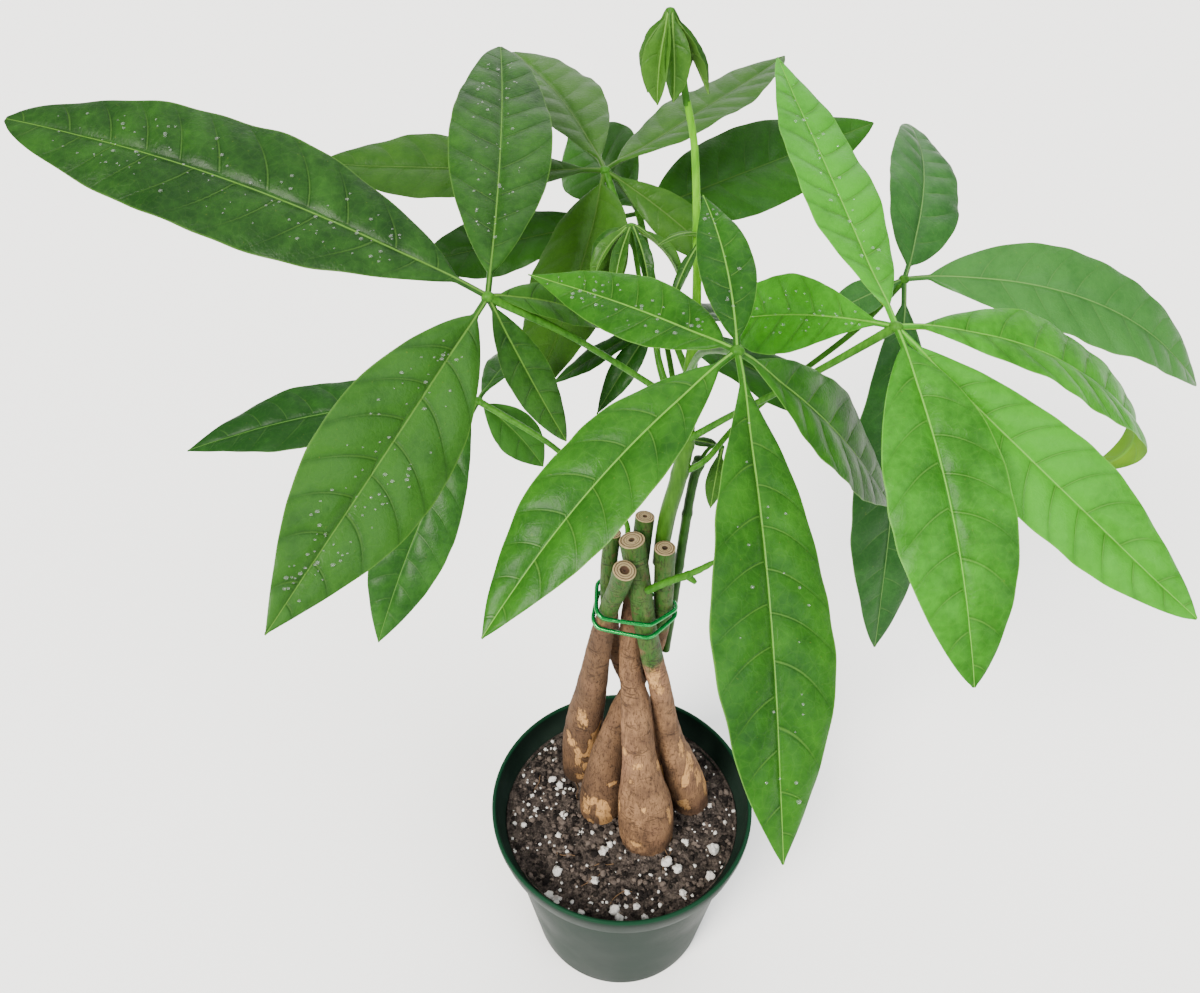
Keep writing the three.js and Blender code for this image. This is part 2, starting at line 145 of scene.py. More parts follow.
def heightOf(tree):
    split = tree.nodes.new("ShaderNodeSeparateXYZ")
    tree.links.new(placeOf(tree), split.inputs[0])
    return split.outputs[2]


def uvOf(tree, name):
    node = tree.nodes.new("ShaderNodeUVMap")
    node.uv_map = name
    split = tree.nodes.new("ShaderNodeSeparateXYZ")
    tree.links.new(node.outputs[0], split.inputs[0])
    return split.outputs[0], split.outputs[1]


# The lightness that each leaflet or crumb was given.
def faceTint(tree):
    node = tree.nodes.new("ShaderNodeAttribute")
    node.attribute_name = "tint"
    return node.outputs["Fac"]


def bumpOf(tree, height, strength, distance):
    node = tree.nodes.new("ShaderNodeBump")
    node.inputs["Strength"].default_value = strength
    node.inputs["Distance"].default_value = distance
    tree.links.new(height, node.inputs["Height"])
    return node.outputs[0]


# Joins a finish to its shader.
def dress(tree, shader, body, bump, rough=None):
    tree.links.new(body, shader.inputs["Base Color"])
    tree.links.new(bump, shader.inputs["Normal"])
    if rough is not None:
        tree.links.new(rough, shader.inputs["Roughness"])


def newShape():
    return {"verts": [], "faces": [], "uvs": [], "veins": [], "mats": [], "tints": []}


def addFace(shape, corners, uvs, veins, mat, tint):
    shape["faces"].append(corners)
    shape["uvs"].extend(uvs)
    shape["veins"].extend(veins)
    shape["mats"].append(mat)
    shape["tints"].append(tint)


# Adds rows of points as a sheet or, with closed, as a tube.
def addGrid(shape, rows, uvs, mat=0, closed=False, flip=False, veins=None, tint=0.5):
    start = len(shape["verts"])
    count = len(rows[0])
    for row in rows:
        shape["verts"].extend(row)
    span = count if closed else count - 1
    source = veins or uvs
    for j in range(len(rows) - 1):
        for i in range(span):
            k = (i + 1) % count
            corners = [(j, i, i), (j, k, i + 1), (j + 1, k, i + 1), (j + 1, i, i)]
            if flip:
                corners.reverse()
            addFace(
                shape, [start + a * count + b for a, b, _ in corners],
                [uvs[a][c] for a, _, c in corners], [source[a][c] for a, _, c in corners], mat, tint,
            )


# Closes the end of a tube with rings that shrink to its middle.
def addCap(shape, ring, centre, mat=0, rings=1, flip=False, dip=None, tint=0.5):
    rows = []
    uvs = []
    count = len(ring)
    for j in range(rings + 1):
        share = j / (rings + 1)
        low = dip(share) if dip else Vector((0, 0, 0))
        rows.append([p.lerp(centre, share) + low for p in ring])
        uvs.append([
            (0.5 + 0.5 * (1 - share) * math.cos(2 * math.pi * i / count),
             0.5 + 0.5 * (1 - share) * math.sin(2 * math.pi * i / count))
            for i in range(count + 1)
        ])
    addGrid(shape, rows, uvs, mat, closed=True, flip=flip, tint=tint)
    last = len(shape["verts"]) - count
    shape["verts"].append(centre + (dip(1.0) if dip else Vector((0, 0, 0))))
    tip = len(shape["verts"]) - 1
    for i in range(count):
        corners = [last + i, last + (i + 1) % count, tip]
        spots = [uvs[-1][i], uvs[-1][i + 1], (0.5, 0.5)]
        if flip:
            corners.reverse()
            spots.reverse()
        addFace(shape, corners, spots, spots, mat, tint)


# Points on a smooth curve through the rows.
def smoothRows(rows, each):
    points = [Vector(row) for row in rows]
    whole = [points[0] * 2 - points[1], *points, points[-1] * 2 - points[-2]]
    made = []
    for i in range(1, len(points)):
        a, b, c, d = whole[i - 1:i + 3]
        for k in range(each):
            t = k / each
            made.append(
                b + (c - a) * (0.5 * t) + (a - b * 2.5 + c * 2 - d * 0.5) * t * t
                + (b * 1.5 - a * 0.5 - c * 1.5 + d * 0.5) * t ** 3
            )
    made.append(points[-1])
    return made


# Rings of points round a way, each with its centre, its direction and the length walked.
def ringsAlong(way, sides, relief=None):
    ahead = [
        (way[min(i + 1, len(way) - 1)].xyz - way[max(i - 1, 0)].xyz).normalized() for i in range(len(way))
    ]
    right = ahead[0].orthogonal().normalized()
    rings = []
    walked = 0.0
    for i, point in enumerate(way):
        if i:
            right = (right - ahead[i] * right.dot(ahead[i])).normalized()
            walked += (point.xyz - way[i - 1].xyz).length
        up = ahead[i].cross(right)
        ring = []
        for k in range(sides):
            turn = 2 * math.pi * k / sides
            out = right * math.cos(turn) + up * math.sin(turn)
            radius = point[3] / 2
            if relief:
                radius += relief(point.xyz + out * radius, turn)
            ring.append(point.xyz + out * radius)
        rings.append((ring, point.xyz, ahead[i], walked))
    return rings


# Adds rings as the wall of a tube; a unit of its second map is so many millimetres.
def addRings(shape, rings, sides, unit=100, mat=0, tint=0.5):
    uvs = [[(i / sides, walked / unit) for i in range(sides + 1)] for _, _, _, walked in rings]
    addGrid(shape, [ring for ring, _, _, _ in rings], uvs, mat, closed=True, tint=tint)


def addTube(shape, rows, each=6, sides=14, mat=0, relief=None, openStart=False, tint=0.5):
    rings = ringsAlong(smoothRows(rows, each), sides, relief)
    addRings(shape, rings, sides, mat=mat, tint=tint)
    if not openStart:
        addCap(shape, rings[0][0], rings[0][1], mat, flip=True, tint=tint)
    bulge = rings[-1][2] * (rows[-1][3] * 0.18)
    addCap(
        shape, rings[-1][0], rings[-1][1], mat, rings=2,
        dip=lambda share: bulge * math.sin(share * math.pi / 2), tint=tint,
    )


# A lumpy ball.
def addLump(shape, centre, size, mat=0, rows=5, sides=8, squash=0.8, rough=0.25, tint=0.5):
    seed = Vector((random.uniform(-50, 50), random.uniform(-50, 50), random.uniform(-50, 50)))
    start = len(shape["verts"])
    for j in range(1, rows):
        tilt = math.pi * j / rows
        for i in range(sides):
            turn = 2 * math.pi * i / sides
            out = Vector((math.sin(tilt) * math.cos(turn), math.sin(tilt) * math.sin(turn), math.cos(tilt)))
            swell = 1 + rough * noise.noise(out * 1.6 + seed) * 2
            shape["verts"].append(centre + Vector((out.x, out.y, out.z * squash)) * (size / 2 * swell))
    shape["verts"].append(centre + Vector((0, 0, size / 2 * squash)))
    shape["verts"].append(centre - Vector((0, 0, size / 2 * squash)))
    top, low = len(shape["verts"]) - 2, len(shape["verts"]) - 1
    faces = []
    for i in range(sides):
        k = (i + 1) % sides
        faces.append([start + i, start + k, top])
        for j in range(rows - 2):
            a, b = start + j * sides, start + (j + 1) * sides
            faces.append([a + k, a + i, b + i, b + k])
        last = start + (rows - 2) * sides
        faces.append([last + k, last + i, low])
    for face in faces:
        middle = [(0.5, 0.5)] * len(face)
        addFace(shape, face, middle, middle, mat, tint)


# Turns a shape into a piece that rides on the pot's body and may stand for a CAD node.
def makeObject(name, shape, materials, node=None, slot=None):
    mesh = bpy.data.meshes.new(name)
    mesh.from_pydata([tuple(v * mm) for v in shape["verts"]], [], shape["faces"])
    for label, key in (("blade", "uvs"), ("vein", "veins")):
        layer = mesh.uv_layers.new(name=label)
        layer.data.foreach_set("uv", [number for pair in shape[key] for number in pair])
    tint = mesh.attributes.new("tint", "FLOAT", "FACE")
    tint.data.foreach_set("value", shape["tints"])
    for material in materials:
        mesh.materials.append(material)
    mesh.polygons.foreach_set("material_index", shape["mats"])
    mesh.polygons.foreach_set("use_smooth", [True] * len(mesh.polygons))
    mesh.update()
    made = bpy.data.objects.new(name, mesh)
    bpy.context.scene.collection.objects.link(made)
    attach(made, "root")
    if node:
        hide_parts(node)
    return made


camera = {
    "place": (-10.67, -275.59, 533.99),
    "pitch": 40.7,   # degrees below level
    "lens": 30.0, "sensor": 36, "nearest": 10,
}
light = {
    "world": 0.75,
    "lamps": {
        "key": {"from": (-0.75, -0.95, 0.95), "spread": 26, "power": 8.6, "colour": "#fffaf2"},
        "fill": {"from": (0.7, -0.8, 0.8), "spread": 45, "power": 2.6, "colour": "#f4f8ff"},
        "top": {"from": (0.0, 0.1, 1.0), "spread": 60, "power": 1.7, "colour": "#ffffff"},
        "back": {"from": (0.2, 1.0, 0.7), "spread": 60, "power": 1.5, "colour": "#ffffff"},
    },
}
floorLook = {"colour": "#f4f4f2", "size": 12000}


def setStage():
    eye = bpy.data.objects.new("camera", bpy.data.cameras.new("camera"))
    bpy.context.scene.collection.objects.link(eye)
    eye.location = Vector(camera["place"]) * mm
    eye.rotation_euler = (math.radians(90 - camera["pitch"]), 0, 0)
    eye.data.lens = camera["lens"]
    eye.data.sensor_width = camera["sensor"]
    eye.data.clip_start = camera["nearest"] * mm
    bpy.context.scene.camera = eye

    world = bpy.data.worlds.new("studio")
    world.use_nodes = True
    sky = world.node_tree.nodes["Background"]
    sky.inputs["Color"].default_value = (1, 1, 1, 1)
    sky.inputs["Strength"].default_value = light["world"]
    bpy.context.scene.world = world

    for name, values in light["lamps"].items():
        lamp = bpy.data.lights.new(name, "SUN")
        lamp.energy = values["power"]
        lamp.angle = math.radians(values["spread"])
        lamp.color = colour(values["colour"])[:3]
        holder = bpy.data.objects.new(name, lamp)
        bpy.context.scene.collection.objects.link(holder)
        holder.rotation_euler = Vector(values["from"]).to_track_quat("Z", "Y").to_euler()

    half = floorLook["size"] * mm / 2
    sheet = bpy.data.meshes.new("floor")
    corners = [(-half, -half, 0), (half, -half, 0), (half, half, 0), (-half, half, 0)]
    sheet.from_pydata(corners, [], [(0, 1, 2, 3)])
    ground, _, shader = newMaterial("floor_paper", roughness=0.9, specular=0.1)
    shader.inputs["Base Color"].default_value = colour(floorLook["colour"])
    sheet.materials.append(ground)
    floor = bpy.data.objects.new("floor", sheet)
    bpy.context.scene.collection.objects.link(floor)


# Leaf greens: shaded and lit base, pale veins, underside, and how strong the creases and their painted
# shade are.
greens = {
    "left": {
        "dark": "#0c2907", "light": "#2a5317", "vein": "#4c7328", "under": "#3c6422",
        "shadedCrease": 1.0,
    },
    "front": {
        "dark": "#12380a", "light": "#2c6211", "vein": "#5f8f33", "under": "#437322",
        "shadedCrease": 0.9,
    },
    "right": {
        "dark": "#1a4809", "light": "#378118", "vein": "#5f9733", "under": "#7d9f1c",
        "shadedCrease": 0.9,
    },
    "farRight": {
        "dark": "#1b4017", "light": "#316127", "vein": "#557a3c", "under": "#4a6b38",
        "shadedCrease": 0.35,
    },
    "back": {
        "dark": "#1b3d0a", "light": "#2f5414", "vein": "#3f5c24", "under": "#25421a",
        "shadedCrease": 0.25,
    },
    "backLow": {
        "dark": "#183f0a", "light": "#265313", "vein": "#3a5a20", "under": "#345020",
        "shadedCrease": 0.3,
    },
    "centre": {
        "dark": "#12380a", "light": "#265716", "vein": "#3f5f26", "under": "#3c5a28",
        "shadedCrease": 0.4,
    },
    "leftLow": {
        "dark": "#10320b", "light": "#2b591a", "vein": "#47702c", "under": "#3c5a28",
        "shadedCrease": 0.6,
    },
    "young": {
        "dark": "#16390c", "light": "#365d1a", "vein": "#5a8234", "under": "#3f6422",
        "shadedCrease": 0.5,
    },
}

# What all blades share: noise scales, how strong each mark is, and the gloss.
leafSkin = {
    "broad": 38, "patchy": 105, "fine": 420, "net": 330, "specks": 900,
    # the valley and crease shares and the crease colour are painted shade along the side veins
    "valleyShadeShare": 0.3, "creaseShadeShare": 0.26, "veinShare": 0.24, "netShare": 0.04,
    "ribShare": 0.85, "marginShare": 0.5, "speckShare": 0.25,
    "shadedCrease": "#0a2206", "speck": "#5f6a22",
    "ribWidth": 0.0068, "ribNarrowing": 0.004, "bump": 0.4,
    "specular": 0.08, "gloss": (0.32, 0.46), "coat": 0.04, "coatRoughness": 0.22, "coatIor": 1.45,
    "glow": 0.1, "underGlow": 0.18,
}


# Lets a little light through a blade.
def addGlow(tree, shader, body, share):
    glow = tree.nodes.new("ShaderNodeBsdfTranslucent")
    mixed = tree.nodes.new("ShaderNodeMixShader")
    output = tree.nodes["Material Output"]
    mixed.inputs[0].default_value = share
    tree.links.new(body, glow.inputs["Color"])
    tree.links.new(shader.outputs[0], mixed.inputs[1])
    tree.links.new(glow.outputs[0], mixed.inputs[2])
    tree.links.new(mixed.outputs[0], output.inputs["Surface"])


def leafMaterial(name, look):
    made, tree, shader = newMaterial(name, specular=leafSkin["specular"])
    along, across = uvOf(tree, "blade")
    phase, edge = uvOf(tree, "vein")
    place = placeOf(tree)
    broad = noiseOf(tree, place, leafSkin["broad"], 3)
    patchy = noiseOf(tree, place, leafSkin["patchy"], 3)
    fine = noiseOf(tree, place, leafSkin["fine"], 4)
    mixed = plus(tree, times(tree, broad, 0.6), times(tree, fine, 0.25))
    mixed = plus(tree, mixed, times(tree, minus(tree, patchy, 0.4), 0.38))
    mixed = plus(tree, mixed, times(tree, faceTint(tree), 0.5))
    shade = rangeOf(tree, mixed, 0.4, 1.04)
    body = blendColour(tree, shade, colour(look["dark"]), colour(look["light"]))
    # side veins are creases darkened with painted shade, with a thin pale line that fades towards the edge
    beat = awayFrom(tree, calc(tree, "FRACT", phase), 0.5)
    toEdge = calc(tree, "ABSOLUTE", edge)
    fade = rangeOf(tree, toEdge, 0.95, 0.3, 0.1, 1.0)
    veinLine = times(tree, rangeOf(tree, beat, 0.47, 0.495), fade)
    shadedCrease = times(tree, rangeOf(tree, beat, 0.44, 0.485), plus(tree, fade, 0.25))
    valleyShade = rangeOf(tree, beat, 0.3, 0.5)
    # painted shade: the dark base green in the valleys by the side veins, a darker green in the creases
    body = tintOver(tree, body, valleyShade, leafSkin["valleyShadeShare"] * look["shadedCrease"], look["dark"])
    body = tintOver(tree, body, shadedCrease, leafSkin["creaseShadeShare"] * look["shadedCrease"], leafSkin["shadedCrease"])
    body = tintOver(tree, body, veinLine, leafSkin["veinShare"], look["vein"])
    # net of small veins
    net = rangeOf(tree, cellEdges(tree, place, leafSkin["net"]), 0.0, 0.09, 1.0, 0.0)
    body = tintOver(tree, body, net, leafSkin["netShare"], look["vein"])
    # midrib, narrower towards the tip
    ribWidth = minus(tree, leafSkin["ribWidth"], times(tree, along, leafSkin["ribNarrowing"]))
    rib = rangeOf(tree, calc(tree, "DIVIDE", awayFrom(tree, across, 0.5), ribWidth), 1.15, 0.6)
    body = tintOver(tree, body, rib, leafSkin["ribShare"], look["vein"])
    # pale margin and yellowed specks
    margin = rangeOf(tree, toEdge, 0.965, 1.0)
    body = tintOver(tree, body, margin, leafSkin["marginShare"], look["vein"])
    specks = rangeOf(tree, noiseOf(tree, place, leafSkin["specks"], 2), 0.7, 0.78)
    body = tintOver(tree, body, specks, leafSkin["speckShare"], leafSkin["speck"])
    # creases, net and midrib are sunk into a fine grain
    relief = plus(tree, times(tree, shadedCrease, -0.7 * look["shadedCrease"]), times(tree, net, -0.1))
    relief = plus(tree, relief, times(tree, noiseOf(tree, place, leafSkin["specks"], 4), 0.9))
    relief = plus(tree, relief, times(tree, rib, -0.7))
    rough = rangeOf(tree, noiseOf(tree, place, 120, 3), 0.3, 0.7, *leafSkin["gloss"])
    dress(tree, shader, body, bumpOf(tree, relief, 0.55, leafSkin["bump"] * mm), rough)
    shader.inputs["Coat Weight"].default_value = leafSkin["coat"]
    shader.inputs["Coat Roughness"].default_value = leafSkin["coatRoughness"]
    shader.inputs["Coat IOR"].default_value = leafSkin["coatIor"]
    addGlow(tree, shader, body, leafSkin["glow"])
    return made


def underMaterial(name, look):
    made, tree, shader = newMaterial(name, roughness=0.6, specular=0.15)
    _, across = uvOf(tree, "blade")
    phase, _ = uvOf(tree, "vein")
    place = placeOf(tree)
    body = blendColour(tree, noiseOf(tree, place, 60, 4), colour(look["light"]), colour(look["under"]))
    veinLine = rangeOf(tree, awayFrom(tree, calc(tree, "FRACT", phase), 0.5), 0.44, 0.5)
    rib = rangeOf(tree, awayFrom(tree, across, 0.5), 0.017, 0.009)
    lines = calc(tree, "MAXIMUM", times(tree, veinLine, 0.7), rib)
    body = tintOver(tree, body, lines, 0.6, look["vein"])
    height = plus(tree, lines, times(tree, noiseOf(tree, place, 600, 3), 0.4))
    dress(tree, shader, body, bumpOf(tree, height, 0.6, leafSkin["bump"] * mm))
    addGlow(tree, shader, body, leafSkin["underGlow"])
    return made


# Two greens for each kind of stem, and what they share.
stemGreens = {
    "main": ("#26480f", "#355d18"), "dark": ("#13300a", "#254a12"),
    "stalk": ("#1f4a0c", "#38691a"), "lit": ("#3d7808", "#5a9610"),
    "cork": "#56611f", "litHeights": (300, 420),
    "streaks": 900, "broad": 90, "corks": 700, "corkShare": 0.5, "bump": 0.3,
    "roughness": 0.42, "specular": 0.07,
}


# A stem of two greens; a lit one turns brighter towards its top.
def stemMaterial(name, kind, lit=False):
    made, tree, shader = newMaterial(name, stemGreens["roughness"], specular=stemGreens["specular"])
    streaks = noiseOf(tree, placeOf(tree, (1, 1, 0.18)), stemGreens["streaks"], 4)
    broad = noiseOf(tree, placeOf(tree), stemGreens["broad"], 3)
    share = plus(tree, times(tree, streaks, 0.6), times(tree, broad, 0.5))
    shade = rangeOf(tree, share, 0.35, 0.75)
    body = blendColour(tree, shade, *[colour(text) for text in stemGreens[kind]])
    if lit:
        tips = blendColour(tree, shade, *[colour(text) for text in stemGreens["lit"]])
        rising = rangeOf(tree, heightOf(tree), *[z * mm for z in stemGreens["litHeights"]])
        body = blendColour(tree, rising, body, tips)
    corks = noiseOf(tree, placeOf(tree, (1, 1, 0.5)), stemGreens["corks"], 2)
    corkShare = rangeOf(tree, corks, 0.71, 0.78)
    body = tintOver(tree, body, corkShare, stemGreens["corkShare"], stemGreens["cork"])
    dress(tree, shader, body, bumpOf(tree, streaks, 0.5, stemGreens["bump"] * mm))
    return made


# The blade's shape, shared by all leaflets.
blade = {
    "thickness": 0.55, "stalkThickness": 1.7, "stalkWidth": 1.9, "stalkShare": 0.06,
    "stalkDiameter": 2.3, "knot": 4.0,   # of the leaf's own stalk and its hub, unless a leaf says otherwise
    "channel": 0.22,      # slope of each half away from the midrib
    "crown": 0.2,         # how far each half bends back down to its edge
    "baseTaper": 0.85,    # how straight a blade widens from its stalk
    "tear": 0.018,        # small changes of width, as a share of it
    "wave": 0.007, "waves": 2.6,      # the edge's wave, as a share of the length
    "frill": 0.0018, "frills": 7.5,   # a smaller wave on it
    "veinSpacing": 11.5, "veinDrift": 0.45, "veinSlant": 0.22, "veinArch": 0.5,
    "quilt": 0.7,         # how far the blade swells between its side veins
    "lumps": 0.35, "groove": 0.9, "rib": 0.75,
    "steps": 160, "stations": 114, "across": 26,
}


def outline(t, belly, point):
    rounded = max(0.0, math.sin(math.pi * min(max(t, 0.0), 1.0) ** belly))
    return rounded ** (blade["baseTaper"] + (point - blade["baseTaper"]) * t)


# The surface of one leaflet, as a function of its share from hub to tip and its place across.
def bladeSurface(hub, row, fold, seed):
    bearing, rise, length, width, droop, turn, belly, point, swing = row[:9]
    curl, curlStart = row[9:] or (0, 1)
    steps = blade["steps"]
    spine = [hub.copy()]
    ways = []
    for i in range(steps + 1):
        along = (i + 0.5) / steps
        curled = curl * max(0.0, along - curlStart) / (1.001 - curlStart)
        climb = math.radians(rise - droop * along - curled)
        heading = math.radians(bearing + swing * (i + 0.5) / steps)
        way = Vector((
            math.cos(climb) * math.cos(heading), math.cos(climb) * math.sin(heading), math.sin(climb),
        ))
        ways.append(way)
        spine.append(spine[-1] + way * (length / steps))
    spacing = max(blade["veinSpacing"] * (0.55 + width / 70), length / 14)
    lean = math.radians(turn)

    def at(share, v, side=1):
        walked = min(share * steps, steps - 1e-6)
        k = int(walked)
        centre = spine[k].lerp(spine[k + 1], walked - k)
        ahead = ways[k]
        heading = math.radians(bearing + swing * share)
        level = Vector((math.sin(heading), -math.cos(heading), 0))
        rawUp = level.cross(ahead)
        across = level * math.cos(lean) + rawUp * math.sin(lean)
        up = rawUp * math.cos(lean) - level * math.sin(lean)
        t = max(0.0, (share - blade["stalkShare"]) / (1 - blade["stalkShare"]))
        full = outline(min(t, 0.997), belly, point)
        narrow = 0.5 if t < 0.5 else 0.12
        edgeNoise = 1 + blade["tear"] * noise.noise(Vector((t * 14, v * 2, seed)))
        half = max(width / 2 * full * edgeNoise, blade["stalkWidth"] * narrow)
        y = v * half
        x = share * length
        # edge waves
        waves = blade["waves"] + math.copysign(1, v) * bearing / 400 if v else blade["waves"]
        ripple = blade["wave"] * length * math.sin(2 * math.pi * waves * t + bearing) * v * v * full
        frills = blade["frills"] + seed % 2
        small = blade["frill"] * length * math.sin(2 * math.pi * frills * t + seed) * abs(v) ** 3 * full
        lift = half * (fold * abs(v) - blade["crown"] * v * v) + ripple + small
        # quilting between the side veins, which alternate left and right of the midrib
        uneven = blade["veinDrift"] * noise.noise(Vector((x / 30, 5 if v > 0 else 2, seed)))
        reached = x - blade["veinSlant"] * abs(y) - blade["veinArch"] * abs(y * v)
        phase = reached / spacing + uneven + (0.5 if v > 0 else 0.0)
        flat = min(1.0, t * 8) * min(1.0, (1 - t) * 6)
        pucker = abs(math.sin(math.pi * phase))
        fullness = (1 - v ** 8) * min(1.0, abs(y) / 3) * flat * min(1.0, width / 26)
        lift += blade["quilt"] * (pucker ** 0.7 - 0.6) * fullness
        lift += blade["lumps"] * noise.noise(Vector((x / 16, y / 9, seed * 3.7))) * fullness
        lift -= blade["groove"] * math.exp(-abs(y) / 1.6) * flat * min(1.0, width / 30)
        # a round stalk that flattens into the blade, with a raised rib below
        thick = blade["stalkThickness"] + (blade["thickness"] - blade["stalkThickness"]) * min(1.0, t * 6)
        stalkSection = math.sqrt(max(0.0, 1 - v * v))
        bodyShare = min(1.0, t * 8)
        section = stalkSection * (1 - bodyShare) + (1 - 0.85 * v ** 6) * bodyShare
        swell = thick / 2 * section
        if side < 0:
            swell += blade["rib"] * math.exp(-(y / 0.9) ** 2) * (1 - t) * bodyShare
        spot = centre + across * y + up * (lift + side * swell)
        return spot, (t, 0.5 + y * 0.02), (phase, v), up

    return at


def addLeaflet(shape, hub, row, fold, seed, tint):
    at = bladeSurface(hub, row, fold, seed)
    size = max(0.35, min(1.0, row[2] / 70))
    stations = int(blade["stations"] * (0.35 + 0.65 * size))
    across = max(8, 2 * int(blade["across"] * size / 2))
    shares = [0.0, 0.015, 0.03, 0.045] + [
        blade["stalkShare"] + (1 - blade["stalkShare"]) * (i / stations) for i in range(stations + 1)
    ]
    spots = []
    for i in range(across + 1):
        s = 2 * i / across - 1
        spots.append(0.72 * s + 0.28 * s * abs(s))   # closer together at the midrib
    grids = []
    for side in (1, -1):
        made = [[at(share, v, side) for v in spots] for share in shares]
        grids.append([[[spot[k] for spot in row] for row in made] for k in range(3)])
    (top, uvs, veins), (under, lowUvs, lowVeins) = grids
    addGrid(shape, top, uvs, mat=0, veins=veins, tint=tint)
    addGrid(shape, under, lowUvs, mat=1, flip=True, veins=lowVeins, tint=tint)
    # thin walls close both edges and both ends
    for i, flip in ((0, True), (across, False)):
        rows = [[a[i], b[i]] for a, b in zip(top, under)]
        rim = [[u[i], u[i]] for u in uvs]
        rimVeins = [[w[i], w[i]] for w in veins]
        addGrid(shape, rows, rim, mat=0, flip=flip, veins=rimVeins, tint=tint)
    for end, flip in ((-1, True), (0, False)):
        addGrid(shape, [top[end], under[end]], [uvs[end]] * 2, mat=0, flip=flip, tint=tint)
    return at
